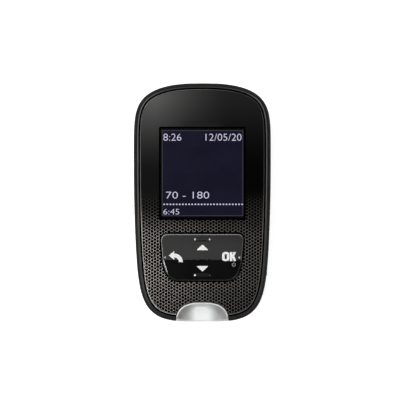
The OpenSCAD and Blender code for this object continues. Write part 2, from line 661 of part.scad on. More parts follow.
module key_plate() {
    lean_z = ridge_z - key_fall[1] - key_edge;
    color([0.06, 0.06, 0.065]) difference() {
        union() {
            intersection() {
                along_x([[key_ends[1], key_under_z], [key_ends[0], key_under_z], [key_ends[0], ridge_z - key_fall[0]],
                    [key_ridge_y, ridge_z], [key_ends[1], ridge_z - key_fall[1]]], -key_w, key_w);
                loft([level(key_ring(0), key_under_z - over), level(key_ring(0), lean_z),
                    level(key_ring(-1.1), lean_z + 1.1)]);
            }
            for (side = [-1, 1]) {
                feeler_bar(key_y + side * (key_h / 2 - bar_in - bar.y / 2));
                disc(nub_r, [side * (key_w / 2 - nub_in), key_y + nub_up], key_under_z + 1, body_t);
            }
            key_lugs(0, lug_top_z - lug_t, lug_top_z);
            intersection() {
                key_lugs(0, lug_top_z - lug_t, key_under_z + seat);
                slab(key_ring(-0.15), lug_top_z - lug_t, key_under_z + seat);
            }
            disc(cup_r, [0, key_y], pivot_z + 0.45, key_under_z + seat);
        }
        translate([0, key_y, pivot_z]) sphere(r = pivot_r + pivot_ease, $fn = 48);
    }
}

module key_pivot() {
    color([0.75, 0.75, 0.72]) translate([0, key_y, pivot_z]) sphere(r = pivot_r, $fn = 48);
}

module pivot_seat() {
    color([0.7, 0.7, 0.68]) difference() {
        disc(cup_r, [0, key_y], board_top_z, pivot_z - 0.45);
        translate([0, key_y, pivot_z]) sphere(r = pivot_r + pivot_ease, $fn = 48);
    }
}

module key_mat() {
    color([0.55, 0.56, 0.58]) difference() {
        union() {
            block([-mat_w / 2, mat_w / 2], mat_y, mat_z);
            for (p = press_spots) disc(mat_pad_r, p, mat_z[0], key_under_z - 0.1);
        }
        disc(cup_r + 0.25, [0, key_y], mat_z[0] - over, mat_z[1] + over);
    }
}

module dome_switches() {
    steps = 4;
    color([0.8, 0.78, 0.7]) for (p = press_spots) translate([p.x, p.y, board_top_z]) rotate_extrude($fn = 48)
        polygon(concat([[0, 0]],
            [for (i = [0 : steps]) [dome_r * (1 - i / steps), 0.06 + (dome_h - 0.06) * (1 - pow(1 - i / steps, 2))]],
            [[0, 0]]));
}

module coin_cell(y) {
    color([0.75, 0.75, 0.74]) {
        translate([0, y, cell_z]) cylinder(r = cell_d / 2, h = cell_t - cell_cap_h, $fn = 96);
        translate([0, y, cell_z]) cylinder(r = cell_d / 2 - 1.2, h = cell_t, $fn = 96);
    }
}

module cell_spring_contacts() {
    leaf = 0.25;
    top = bay_top_z - seat;
    tip = cell_z + cell_t + 0.02;
    color([0.8, 0.76, 0.6]) for (y = cell_spots) translate([0, y, 0]) {
        block([-contact_x - contact_leg.x / 2, contact_x + contact_leg.x / 2], [-1.5, 1.5], [top - leaf, top]);
        for (side = [-1, 1]) {
            block([side * contact_x - contact_leg.x / 2, side * contact_x + contact_leg.x / 2],
                [-contact_leg.y / 2, contact_leg.y / 2], [top - leaf, board_under_z]);
            along_x([[side * 1.5, top - leaf], [side * 1.5, top], [side * 4.6, tip + leaf], [side * 5.6, tip + leaf],
                [side * 5.6, tip], [side * 4.6, tip]], -1.2, 1.2);
        }
    }
}

module cell_side_contacts() {
    x = -cell_d / 2 - bay_ease - 0.15;
    color([0.8, 0.76, 0.6]) for (y = cell_spots) translate([0, y, 0]) {
        block([x - 0.3, x], [-1.4, 1.4], [cell_z + 0.3, board_under_z]);
        along_y([[x, cell_z + 0.6], [-cell_d / 2 - 0.03, cell_z + cell_t / 2 - 0.3],
            [-cell_d / 2 - 0.03, cell_z + cell_t / 2], [x, cell_z + cell_t - 0.4]], -0.8, 0.8);
    }
}

module usb_socket() {
    color([0.7, 0.71, 0.72]) difference() {
        along_y(usb_shape(0), usb_y[0], usb_y[1]);
        along_y(usb_shape(usb_wall), usb_y[0] + 0.6, usb_y[1] + over);
    }
}

module usb_tongue() {
    color([0.08, 0.08, 0.08]) block([-2.1, 2.1], [usb_y[0] + 0.6, usb_y[1] - 0.8],
        [board_under_z - usb_wall - 0.95, board_under_z - usb_wall - 0.35]);
}

module strip_connector() {
    color([0.85, 0.83, 0.75]) difference() {
        block([-connector_w / 2, connector_w / 2], connector_y, [connector_z0, board_under_z]);
        block([-slot_w / 2 - 0.1, slot_w / 2 + 0.1], [connector_y[0] - over, connector_y[1] - 2],
            [strip_z - slot_h / 2, strip_z + slot_h / 2]);
        block([-finger_w / 2 - 0.3, finger_w / 2 + 0.3], [pusher_y[0] - pusher_travel - 0.5, connector_y[1] - 2],
            [connector_z0 - over, strip_z]);
        block([-connector_w / 2 - over, connector_w / 2 + over], [connector_y[0] - over, board_y0 + seat],
            [strip_z + slot_h / 2 + 0.9, board_under_z + over]);
        for (i = [-2 : 2]) block([i * contact_pitch - 0.35, i * contact_pitch + 0.35],
            [connector_y[0] + 1.2, connector_y[1] + over], [strip_z, board_under_z + over]);
    }
}

module strip_contacts() {
    wire = 0.25;
    top = board_under_z - wire;
    tip_y = connector_y[0] + 2.6;
    bend_y = pusher_y[0] + 0.2;
    color([0.85, 0.7, 0.35]) for (i = [-2 : 2])
        along_x([[tip_y, strip_z + 0.15], [tip_y, strip_z + 0.15 + wire], [bend_y, top], [bend_y, board_under_z],
            [connector_y[1] + 1, board_under_z], [connector_y[1] + 1, top], [bend_y + 0.4, top],
            [tip_y + 0.8, strip_z + 0.15]], i * contact_pitch - 0.25, i * contact_pitch + 0.25);
}

module port_lights() {
    color([0.95, 0.95, 0.85]) for (side = [-1, 1])
        block([side * port_w / 4 - 1, side * port_w / 4 + 1], [board_y0 + 0.1, board_y0 + 1.3],
            [board_top_z, board_top_z + 0.7]);
}

module beeper() {
    spot = [-half_w * 0.56, key_y + 0.5];
    color([0.1, 0.1, 0.1]) difference() {
        disc(4.5, spot, board_under_z - 1.9, board_under_z);
        disc(0.8, spot, board_under_z - 1.9 - over, board_under_z - 1.2);
    }
}

module radio_module() {
    under = board_under_z - radio_h;
    recess = [radio_spot.y[0] + 1, radio_spot.y[0] + 2.2];
    color([0.75, 0.75, 0.76]) difference() {
        block(radio_spot.x, radio_spot.y, [under, board_under_z]);
        block(radio_spot.x + [1.5, -1.5], recess, [under - over, under + 0.2]);
    }
}

module processor() {
    color([0.07, 0.07, 0.08]) difference() {
        block(processor_spot.x, processor_spot.y, [board_under_z - processor_h, board_under_z]);
        disc(0.4, [processor_spot.x[0] + 1, processor_spot.y[1] - 1], board_under_z - processor_h - over,
            board_under_z - processor_h + 0.1);
    }
}

// Small parts on the board's lower side: a crystal, a chip, and rows of capacitors
module board_components() {
    z = board_under_z;
    color([0.45, 0.36, 0.25]) {
        for (i = [0 : 3]) block([9.2 + 1.5 * i, 10 + 1.5 * i], [11, 12.6], [z - 0.8, z]);
        for (i = [0 : 3]) block([17, 18.4], [-6 + 2 * i, -5.2 + 2 * i], [z - 0.7, z]);
    }
    color([0.8, 0.8, 0.78]) block([9, 12.2], [-3, -1.5], [z - 0.8, z]);
    color([0.06, 0.06, 0.06]) block([-17.5, -13.5], [1, 5], [z - 0.9, z]);
}

module case_screws() {
    color([0.5, 0.5, 0.52]) for (p = screw_spots) difference() {
        union() {
            disc(head_r, p, head_seat_z - head_h, head_seat_z);
            disc(screw_r, p, head_seat_z, deck_under_z - boss_pilot_top - 0.4);
        }
        for (turn = [0, 90]) translate([p.x, p.y, head_seat_z - head_h]) rotate(turn)
            cube([2 * head_r * 0.6, 0.45, 1.1], center = true);
    }
}

module ejector_button() {
    color([0.3, 0.3, 0.32]) {
        oval_x(button_l, button_h, button_flange_x - button_flange_t, button_face_x, button_y, button_z);
        block([button_flange_x - button_flange_t, button_flange_x],
            [button_y - button_l / 2 - 0.8, button_y + button_l / 2 + 0.8],
            [button_z - button_h / 2 + 0.4, button_z + button_h / 2 + 0.5]);
        slab([[wedge_line_x(stem_y[0]), stem_y[0]], [button_flange_x - button_flange_t / 2, stem_y[0]],
            [button_flange_x - button_flange_t / 2, stem_y[1]], [wedge_line_x(stem_y[1]), stem_y[1]]],
            mech_z[0], mech_z[1]);
    }
}

module strip_pusher() {
    right = [for (y = [stem_y[0], pusher_y[1]]) wedge_line_x(y) - wedge_gap];
    color([0.9, 0.9, 0.88]) {
        slab([[pusher_x[0], pusher_y[0]], [right[0], pusher_y[0]], [right[0], stem_y[0]], [right[1], pusher_y[1]],
            [pusher_x[0], pusher_y[1]]], mech_z[0], mech_z[1]);
        block([-finger_w / 2, finger_w / 2], [pusher_y[0], pusher_y[0] + finger_t],
            [mech_z[1] - seat, strip_z + 0.05]);
    }
}

// Compression spring that returns the pusher: one wire swept along a helix, with flat ends
module ejector_spring() {
    sides = 6;
    rings = spring_turns * 10;
    length = pusher_y[0] - spring_y0 - 2 * spring_wire / 2;
    function spring_point(i, k) =
        let (a = 360 * spring_turns * i / rings, c = 360 * k / sides, r = spring_r + spring_wire / 2 * cos(c))
        [r * cos(a), r * sin(a), length * i / rings + spring_wire / 2 * sin(c)];
    n = rings * sides;
    color([0.7, 0.7, 0.72])
        translate([(pusher_x[0] + pusher_x[1]) / 2, spring_y0 + spring_wire / 2, spring_z]) rotate([-90, 0, 0])
        polyhedron(
            points = [for (i = [0 : rings], k = [0 : sides - 1]) spring_point(i, k)],
            faces = concat(
                [for (i = [0 : rings - 1], k = [0 : sides - 1])
                    [i * sides + k, (i + 1) * sides + k, (i + 1) * sides + (k + 1) % sides]],
                [for (i = [0 : rings - 1], k = [0 : sides - 1])
                    [i * sides + k, (i + 1) * sides + (k + 1) % sides, i * sides + (k + 1) % sides]],
                [[for (k = [0 : sides - 1]) k]],
                [[for (k = [sides - 1 : -1 : 0]) n + k]]));
}

module door_clip() {
    y0 = door_end_y;
    y1 = y0 + clip_span;
    t = clip_leg;
    along_x([[y1, door_z[0]], [y1, clip_top_z - 0.6], [y1 - 0.6, clip_top_z], [y0 + 0.6, clip_top_z],
        [y0, clip_top_z - 0.6], [y0, door_z[1] + 0.9], [y0 - clip_hook, door_z[1] + 0.5], [y0 - clip_hook, door_z[1] + 0.2],
        [y0, door_z[1] + 0.2], [y0, door_z[0] + clip_thumb_t], [y0 - clip_thumb, door_z[0] + clip_thumb_t],
        [y0 - clip_thumb, door_z[0]], [y0 + t, door_z[0]], [y0 + t, clip_top_z - 0.9], [y0 + t + 0.3, clip_top_z - t],
        [y1 - t - 0.3, clip_top_z - t], [y1 - t, clip_top_z - 0.9], [y1 - t, door_z[0]]], -clip_w / 2, clip_w / 2);
}

module battery_door() {
    color([0.14, 0.14, 0.15]) {
        difference() {
            slab(rounded_box(door_w, door_end_y, hinge_y, door_r), door_z[0], door_z[1]);
            block([-clip_w / 2 - 0.4, clip_w / 2 + 0.4], [door_end_y - over, door_end_y + clip_span - clip_leg / 2],
                [-over, door_z[1] + over]);
        }
        door_clip();
        rod_x(bead_r, -door_w / 2, door_w / 2, hinge_y, hinge_z);
        rod_x(hinge_pin_r, -door_w / 2 - hinge_pin_l, door_w / 2 + hinge_pin_l, hinge_y, hinge_z);
        // ribs that hold the cells
        for (y = cell_spots, side = [-1, 1])
            block([-cell_d / 3, cell_d / 3], [y + side * cell_d / 5 - 0.4, y + side * cell_d / 5 + 0.4],
                [door_z[1] - seat, cell_z - seat]);
    }
}

rear_cover();
front_housing();
face_plate();
display_window();
strip_port_lens();
main_board();
lcd_glass();
lcd_gasket();
lcd_backlight();
lcd_frame();
lcd_ribbon();
key_plate();
key_pivot();
pivot_seat();
key_mat();
dome_switches();
coin_cell(cell_spots[1]);  // coin_cell_upper
coin_cell(cell_spots[0]);  // coin_cell_lower
cell_spring_contacts();
cell_side_contacts();
usb_socket();
usb_tongue();
strip_connector();
strip_contacts();
port_lights();
beeper();
radio_module();
processor();
board_components();
case_screws();
ejector_button();
strip_pusher();
ejector_spring();
battery_door();
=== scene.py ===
import math

import bmesh
import bpy
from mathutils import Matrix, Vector


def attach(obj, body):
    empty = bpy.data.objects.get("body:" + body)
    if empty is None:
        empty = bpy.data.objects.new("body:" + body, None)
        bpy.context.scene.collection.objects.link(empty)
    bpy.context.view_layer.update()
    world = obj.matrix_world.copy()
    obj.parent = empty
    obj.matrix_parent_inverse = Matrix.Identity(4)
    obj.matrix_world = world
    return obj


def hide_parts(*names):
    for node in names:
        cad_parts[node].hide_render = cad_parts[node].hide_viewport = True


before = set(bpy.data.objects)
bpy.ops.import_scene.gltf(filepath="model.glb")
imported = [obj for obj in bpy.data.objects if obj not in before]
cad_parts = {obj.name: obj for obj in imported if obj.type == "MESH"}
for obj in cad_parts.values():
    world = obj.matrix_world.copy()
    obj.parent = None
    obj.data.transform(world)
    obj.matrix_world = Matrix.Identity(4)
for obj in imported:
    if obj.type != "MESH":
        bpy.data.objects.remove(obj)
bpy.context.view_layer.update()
mm = 0.001  # lengths are written in millimetres, and only the studio's in metres

cameraView = {
    "aim": (-0.76, 0.82),   # the point of the meter in the middle of the picture
    "distance": 1000,       # above the widest line of the case
    "widestZ": 12.05,
    "seenWidth": 134.2,     # across the picture at that height
}


def makeCamera(view):
    data = bpy.data.cameras.new("camera")
    data.sensor_width = 36
    data.lens = data.sensor_width * view["distance"] / view["seenWidth"]
    data.clip_start = 0.01
    data.clip_end = 20
    camera = bpy.data.objects.new("camera", data)
    camera.location = (view["aim"][0] * mm, view["aim"][1] * mm, (view["distance"] + view["widestZ"]) * mm)
    bpy.context.scene.collection.objects.link(camera)
    bpy.context.scene.camera = camera


makeCamera(cameraView)
bpy.context.scene.view_settings.view_transform = "Standard"
print("camera is set")


# helpers for node trees

def newMaterial(name):
    material = bpy.data.materials.new(name)
    material.use_nodes = True
    tree = material.node_tree
    tree.nodes.clear()
    return material, tree


def node(tree, kind, inputs=None, **settings):
    made = tree.nodes.new(kind)
    for key, value in settings.items():
        setattr(made, key, value)
    for key, value in (inputs or {}).items():
        if isinstance(value, bpy.types.NodeSocket):
            tree.links.new(value, made.inputs[key])
        else:
            made.inputs[key].default_value = value
    return made


def calc(tree, operation, *values):
    return node(tree, "ShaderNodeMath", dict(enumerate(values)), operation=operation).outputs[0]


def times(tree, first, *others):
    for value in others:
        first = calc(tree, "MULTIPLY", first, value)
    return first


def vector(tree, operation, *values):
    return node(tree, "ShaderNodeVectorMath", dict(enumerate(values)), operation=operation).outputs[0]


def scaled(tree, colour, share):
    return node(tree, "ShaderNodeVectorMath", {0: colour, "Scale": share}, operation="SCALE").outputs[0]


def length(tree, value):
    return node(tree, "ShaderNodeVectorMath", {0: value}, operation="LENGTH").outputs["Value"]


def ramp(tree, value, start, end, low=0.0, high=1.0, smooth=True):
    kind = "SMOOTHSTEP" if smooth else "LINEAR"
    made = node(tree, "ShaderNodeMapRange", {"Value": value, "From Min": start, "From Max": end,
                                             "To Min": low, "To Max": high}, interpolation_type=kind)
    return made.outputs[0]


def rampMm(tree, value, start, end, low=0.0, high=1.0):
    return ramp(tree, value, start * mm, end * mm, low, high)


def objectPlace(tree):
    return node(tree, "ShaderNodeTexCoord").outputs["Object"]


def axesOf(tree, place, axes):
    split = node(tree, "ShaderNodeSeparateXYZ", {0: place})
    return [split.outputs[axis] for axis in axes]


def cloudy(tree, place, scale, detail=2):
    return node(tree, "ShaderNodeTexNoise", {"Vector": place, "Scale": scale, "Detail": detail}).outputs["Fac"]


def vary(tree, cloud, low, high):
    return ramp(tree, cloud, 0.3, 0.7, low, high)


def grained(tree, place, strength):
    # the fine grain of a spark-eroded mould
    return node(tree, "ShaderNodeBump", {"Height": cloudy(tree, place, 4000), "Strength": strength,
                                         "Distance": 0.05 * mm}).outputs[0]


def beyond(tree, place, x, y):
    # how far a point lies outside a rectangle, and below zero inside it
    middle = ((x[0] + x[1]) / 2 * mm, (y[0] + y[1]) / 2 * mm, 0)
    spots = axesOf(tree, vector(tree, "SUBTRACT", place, middle), "XY")
    return calc(tree, "MAXIMUM", *[calc(tree, "SUBTRACT", calc(tree, "ABSOLUTE", spot), (high - low) / 2 * mm)
                                   for spot, (low, high) in zip(spots, (x, y))])


def apartIn(tree, place, x, y, across, along):
    # distance from a point, counted in reaches across and along, so that 1 is an ellipse
    moved = vector(tree, "SUBTRACT", place, (x * mm, y * mm, 0))
    return length(tree, vector(tree, "MULTIPLY", moved, (1 / (across * mm), 1 / (along * mm), 0)))


def blendColour(tree, share, first, second):
    made = node(tree, "ShaderNodeMix", data_type="RGBA")
    for socket, value in (("Factor_Float", share), ("A_Color", first), ("B_Color", second)):
        into = next(s for s in made.inputs if s.identifier == socket)
        if isinstance(value, bpy.types.NodeSocket):
            tree.links.new(value, into)
        else:
            into.default_value = value if isinstance(value, (int, float)) else (*value, 1)
    return next(s for s in made.outputs if s.identifier == "Result_Color")


def finishTree(tree, shader):
    node(tree, "ShaderNodeOutputMaterial", {"Surface": shader.outputs[0]})


def finishPrincipled(tree, inputs):
    finishTree(tree, node(tree, "ShaderNodeBsdfPrincipled", inputs))


# helpers for modelling

def clearSelection():
    bpy.ops.object.select_all(action="DESELECT")


def facesOut():
    bpy.ops.mesh.select_all(action="SELECT")
    bpy.ops.mesh.normals_make_consistent(inside=False)
    bpy.ops.object.mode_set(mode="OBJECT")


def pick(*pieces):
    clearSelection()
    for piece in pieces:
        piece.select_set(True)
    bpy.context.view_layer.objects.active = pieces[0]


def growForm(name, rings):
    # a filled circle is extruded ring by ring, and its points move out to each outline in turn
    clearSelection()
    bpy.ops.mesh.primitive_circle_add(vertices=len(rings[0]), radius=mm, fill_type="NGON")
    form = bpy.context.object
    form.name = name
    place = form.data.attributes.new("place", "INT", "POINT")
    for i, vertex in enumerate(form.data.vertices):
        place.data[i].value = i
        vertex.co = Vector(rings[0][i]) * mm
    bpy.ops.object.mode_set(mode="EDIT")
    bpy.ops.mesh.select_mode(type="FACE")
    bpy.ops.mesh.select_all(action="SELECT")
    for ring in rings[1:]:
        bpy.ops.mesh.extrude_region_move()
        mesh = bmesh.from_edit_mesh(form.data)
        layer = mesh.verts.layers.int["place"]
        for vertex in mesh.verts:
            if vertex.select:
                vertex.co = Vector(ring[vertex[layer]]) * mm
        bmesh.update_edit_mesh(form.data)
    facesOut()
    return form


def combine(form, tool, operation="DIFFERENCE"):
    pick(form)
    cut = form.modifiers.new("cut", "BOOLEAN")
    cut.operation = operation
    cut.solver = "EXACT"
    cut.object = tool
    bpy.ops.object.modifier_apply(modifier=cut.name)
    bpy.data.objects.remove(tool)


def smoothed(form, degrees=30):
    pick(form)
    bpy.ops.object.mode_set(mode="EDIT")
    facesOut()
    bpy.ops.object.shade_smooth_by_angle(angle=math.radians(degrees))
    even = form.modifiers.new("even", "WEIGHTED_NORMAL")
    even.keep_sharp = True
    bpy.ops.object.modifier_apply(modifier=even.name)


def settle(piece, material, body, slot, *nodes):
    piece.data.materials.clear()
    piece.data.materials.append(material)
    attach(piece, body)
    if nodes:
        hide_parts(*nodes)


def prism(name, points, low, high):
    return growForm(name, [[(x, y, z) for x, y in points] for z in (low, high)])


def placed(name):
    # names the new primitive and takes its place into its mesh
    made = bpy.context.object
    made.name = name
    bpy.ops.object.transform_apply(location=True, rotation=True, scale=True)
    return made


def joined(name, pieces):
    pick(*pieces)
    bpy.ops.object.join()
    bpy.context.object.name = name
    return bpy.context.object


def box(name, x, y, z):
    clearSelection()
    middle = [(a + b) / 2 * mm for a, b in (x, y, z)]
    bpy.ops.mesh.primitive_cube_add(size=1, location=middle, scale=[(b - a) * mm for a, b in (x, y, z)])
    return placed(name)


def drum(name, radius, spot, low, high, sides=48):
    clearSelection()
    bpy.ops.mesh.primitive_cylinder_add(vertices=sides, radius=radius * mm, depth=(high - low) * mm,
                                        location=(spot[0] * mm, spot[1] * mm, (low + high) / 2 * mm))
    return placed(name)


def ball(name, radius, spot, segments=96):
    clearSelection()
    bpy.ops.mesh.primitive_uv_sphere_add(segments=segments, ring_count=segments // 2, radius=radius * mm,
                                         location=[c * mm for c in spot])
    return placed(name)


def bar(name, radius, start, end):
    # a round bar between two points
    clearSelection()
    a, b = Vector(start) * mm, Vector(end) * mm
    turn = (b - a).to_track_quat("Z", "Y").to_euler()
    bpy.ops.mesh.primitive_cylinder_add(vertices=32, radius=radius * mm, depth=(b - a).length,
                                        location=(a + b) / 2, rotation=turn)
    return placed(name)


def rounding(degrees):
    # how far in and how far up a rounded edge has come, as shares of its reach
    return [(1 - math.cos(math.radians(turn)), math.sin(math.radians(turn))) for turn in degrees]


# the case's outline: two quarters, a wide one at the top end and a long one at the strip end

case = {
    "halfWidth": 23, "length": 80, "waistY": 13.15,
    "top": (26.85, 2.5, 5.55, 0),          # reach, fullness across, fullness along, share lost in width
    "strip": (53.15, 3.75, 9.3, 0.105),
    "quarterPoints": 42,
    "partZ": 9.5, "widestZ": 12.05, "height": 20, "faceTop": 19.4,
    "backRound": 7, "backPower": 2.2, "frontRound": 3.75,
    "crownAcross": 0.45, "crownAlong": 0.5,
    "deckUnderZ": 16.4, "deckZ": 17.6, "rimZ": 18.32,
    "rim": 1.75, "plateGap": 0.35, "wall": 1.6,
}


def quarterOutline(reach, across, along, taper):
    # points with their outward normals, closer together where the outline turns
    half, fineSteps, turnShare = case["halfWidth"], 1000, 54    # a turn by one radian counts as so many mm
    powers = []
    for i in range(fineSteps + 1):
        v = 0.9 * i / fineSteps
        powers.append(((1 - v ** along) ** (1 / across), v))
    for i in range(1, fineSteps + 1):
        u = powers[fineSteps][0] * (1 - i / fineSteps)
        powers.append((u, (1 - u ** across) ** (1 / along)))
    fine = []
    for u, v in powers:
        width = 1 - taper * v * v
        nx = across / (half * width) * u ** (across - 1)
        ny = (along * v ** (along - 1) + 2 * across * taper * v * u ** across / width) / reach
        fine.append((half * width * u, reach * v, math.atan2(ny, nx)))
    spread = [0.0]
    for (x0, y0, a0), (x1, y1, a1) in zip(fine, fine[1:]):
        spread.append(spread[-1] + math.hypot(x1 - x0, y1 - y0) + abs(a1 - a0) * turnShare)
    points, k, count = [], 0, case["quarterPoints"]
    for i in range(count + 1):
        while k < 2 * fineSteps and spread[k] < spread[-1] * i / count:
            k += 1
        x, y, angle = fine[k]
        points.append((x, y, math.cos(angle), math.sin(angle)))
    return points


topQuarter, stripQuarter = quarterOutline(*case["top"]), quarterOutline(*case["strip"])


def caseRing(inset):
    # the outline moved in by an even distance
    ring = []
    for quarter, sx, sy in ((topQuarter, 1, 1), (topQuarter[::-1], -1, 1), (stripQuarter, -1, -1),
                            (stripQuarter[::-1], 1, -1)):
        for x, y, nx, ny in quarter[:-1]:
            ring.append((sx * (x - inset * nx), case["waistY"] + sy * (y - inset * ny)))
    return ring


def level(ring, z):
    return [(x, y, z) for x, y in ring]


def faceZ(x, y):
    return (case["faceTop"] - case["crownAcross"] * (x / case["halfWidth"]) ** 2
            - case["crownAlong"] * (2 * y / case["length"]) ** 2)


def crowned(ring, drop=0.0):
    return [(x, y, faceZ(x, y) - drop) for x, y in ring]


def backInset(z):
    share = (case["widestZ"] - z) / case["widestZ"]
    return case["backRound"] * (1 - (1 - share ** case["backPower"]) ** (1 / case["backPower"]))


def frontInset(z):
    share = (z - case["widestZ"]) / (case["height"] - case["widestZ"])
    return case["frontRound"] * (1 - math.sqrt(1 - share ** 2))


def roundedOutline(corners, steps):
    # a polygon with rounded corners, from (x, y, radius)
    points, n = [], len(corners)
    for i in range(n):
        a, b, c = (Vector(corners[(i + k) % n][:2]) for k in (-1, 0, 1))
        radius = corners[i][2]
        u, v = (a - b).normalized(), (c - b).normalized()
        half = math.acos(max(-1, min(1, u.dot(v)))) / 2
        middle = b + (u + v).normalized() * radius / math.sin(half)
        p, q = b + u * radius / math.tan(half) - middle, b + v * radius / math.tan(half) - middle
        start, turn = math.atan2(p.y, p.x), math.atan2(p.x * q.y - p.y * q.x, p.dot(q))
        for k in range(steps + 1):
            angle = start + turn * k / steps
            points.append((middle.x + radius * math.cos(angle), middle.y + radius * math.sin(angle)))
    return points


def roundedBox(x, y, radius, steps=6, inset=0.0):
    (x0, x1), (y0, y1) = ((low + inset, high - inset) for low, high in (x, y))
    return roundedOutline([(x1, y0, radius), (x1, y1, radius), (x0, y1, radius), (x0, y0, radius)], steps)


key = {
    "y": -18.3, "width": 27.8, "height": 15.5, "gap": 0.35, "under": 17.8,
    "waist": 0.472, "foot": 0.405, "waistDown": 0.1,    # as shares of the width and of the height
    "topCorner": 1.9, "waistCorner": 9, "footCorner": 4.6,
    "ridge": -19.3, "ridgeZ": 19.9, "fall": (0.47, 0.5),
}


def keyRing(grow=0.0):
    w, h = key["width"], key["height"]
    top = (w / 2, h / 2, key["topCorner"])
    waist = (w * key["waist"], -h * key["waistDown"], key["waistCorner"])
    foot = (w * key["foot"], -h / 2, key["footCorner"])
    left = [(-x, y, radius) for x, y, radius in (top, waist, foot)]
    grown = []
    for x, y, radius in [top, *left, foot, waist]:
        up = math.copysign(1, y) * grow if abs(y) > h / 4 else 0
        grown.append((x + math.copysign(1, x) * grow, y + up, radius + grow))
    return [(x, y + key["y"]) for x, y in roundedOutline(grown, 12)]


port = {"half": 8.7, "height": 6.65, "foot": 0.2, "power": 2.6, "endY": -40, "gap": 0.15}


def portRing(grow=0.0, steps=48):
    a, h, y = port["half"] + grow, port["height"] - port["foot"] + grow, port["endY"] + port["foot"]
    ring = []
    for i in range(steps + 1):
        t = math.pi * i / steps
        c, s = math.cos(t), max(0.0, math.sin(t))
        ring.append((a * math.copysign(abs(c) ** (2 / port["power"]), c), y + h * s ** (2 / port["power"])))
    return ring + [(-a, port["endY"] - 1), (a, port["endY"] - 1)]


# materials of moulded pieces and metals

def plasticMaterial(name, colour, roughness, grain=0.0, metallic=0.0, mottle=0.12, cloudScale=120, shine=0.5):
    material, tree = newMaterial(name)
    place = objectPlace(tree)
    cloud = cloudy(tree, place, cloudScale, 3)
    inputs = {"Base Color": scaled(tree, colour, vary(tree, cloud, 1 - mottle, 1 + mottle)), "Metallic": metallic,
              "Roughness": vary(tree, cloud, roughness * 0.9, min(1, roughness * 1.12)), "Specular IOR Level": shine}
    if grain > 0:
        inputs["Normal"] = grained(tree, place, grain)
    finishPrincipled(tree, inputs)
    return material


def paintNode(name, material):
    # gives a CAD node its finish, and rounds off the shading of its flats
    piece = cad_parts[name]
    piece.data.materials.clear()
    piece.data.materials.append(material)
    for face in piece.data.polygons:
        face.use_smooth = True
    weld = piece.modifiers.new("weld", "WELD")
    weld.merge_threshold = 0.002 * mm
    split = piece.modifiers.new("edges", "EDGE_SPLIT")
    split.split_angle = math.radians(32)


rimHighlight = {
    "rim": (0.007, 0.007, 0.0073), "line": (0.125, 0.122, 0.12), "lowZ": 18.02, "soft": 0.05,
    "wider": 0.8, "widerOver": (4, -16),      # the painted highlight band reaches further down towards the strip end
    "topFade": (39.5, 33, 0.25, 1), "stripFade": (-39, -28, 0.35, 1),    # from y, to y, and the shares there
    "side": (0.014, 0.014, 0.0145), "sideOver": (16.5, 14),
    "roughness": 0.62, "density": 1.12, "shine": 0.15,
}


def rimMaterial():
    # matt plastic with a highlight painted along its rounded edge, and its lower side painted lighter
    material, tree = newMaterial("rimPlastic")
    values = rimHighlight
    place = objectPlace(tree)
    y, z = axesOf(tree, place, "YZ")
    # the painted highlight along the edge, wider towards the strip end and fading at both ends
    wider = rampMm(tree, y, *values["widerOver"], 0, values["wider"] * mm)
    above = rampMm(tree, calc(tree, "ADD", z, wider), values["lowZ"] - values["soft"], values["lowZ"] + values["soft"])
    dimmer = ramp(tree, wider, 0, values["wider"] * mm, 1, 0.5, smooth=False)
    ends = times(tree, rampMm(tree, y, *values["topFade"]), rampMm(tree, y, *values["stripFade"]))
    cloud = cloudy(tree, place, 180, 3)
    paintedHighlight = times(tree, above, ends, dimmer, vary(tree, cloud, 0.85, 1.1))
    # painted light: the lower side is lighter, as if lit from the floor
    lower = rampMm(tree, z, *values["sideOver"])
    rough = values["roughness"]
    finishPrincipled(tree, {
        "Base Color": blendColour(tree, paintedHighlight, blendColour(tree, lower, values["rim"], values["side"]), values["line"]),
        "Roughness": vary(tree, cloud, rough * 0.92, rough * 1.08), "IOR": values["density"],
        "Specular IOR Level": values["shine"], "Normal": grained(tree, place, 0.3)})
    return material


rimPlastic = rimMaterial()
# near-black painted shade for the deck and inner walls seen down the gap round the face plate
gapShadePlastic = plasticMaterial("gapShadePlastic", (0.0006, 0.0006, 0.0006), 0.9, grain=0.4, shine=0.02)
backPlastic = plasticMaterial("backPlastic", (0.024, 0.024, 0.025), 0.55, grain=0.6)


# front housing: the matt rim round the face, with its deck and openings

housing = {
    "sideSteps": 10, "chamfer": 0.3, "chamferIn": 0.36, "innerEdge": 0.07,
    "tray": ((-16.15, 16.15), (-8.75, 26.95), (15, 18.6)),
    "keyCut": (15, 20.5), "portCut": (8.5, 20),         # from and to which height
    "socket": ((-4.25, 4.25), (10.3, 13.8), 1.2), "socketCut": (36.2, 41),
    "bosses": ((-14.6, 32.1), (14.6, 32.1), (-13.78, -29.05), (13.78, -29.05)), "bossRadius": 2.3,
}


def housingRings():
    rings = [level(caseRing(backInset(z)), z) for z in (9.5, 10.2, 11, 11.6)]
    top = case["rimZ"] - housing["chamfer"]
    for i in range(housing["sideSteps"] + 1):
        z = case["widestZ"] + (top - case["widestZ"]) * i / housing["sideSteps"]
        rings.append(level(caseRing(frontInset(z)), z))
    for inward, up in rounding((22, 45, 68, 90)):  # the outer edge of the rim
        rings.append(level(caseRing(frontInset(top) + housing["chamferIn"] * inward), top + housing["chamfer"] * up))
    edge = housing["innerEdge"]
    for back, down in ((edge, 0), (edge * 0.3, edge * 0.3), (0, edge), (0, case["rimZ"] - case["deckZ"])):
        rings.append(level(caseRing(case["rim"] - back), case["rimZ"] - down))
    return rings


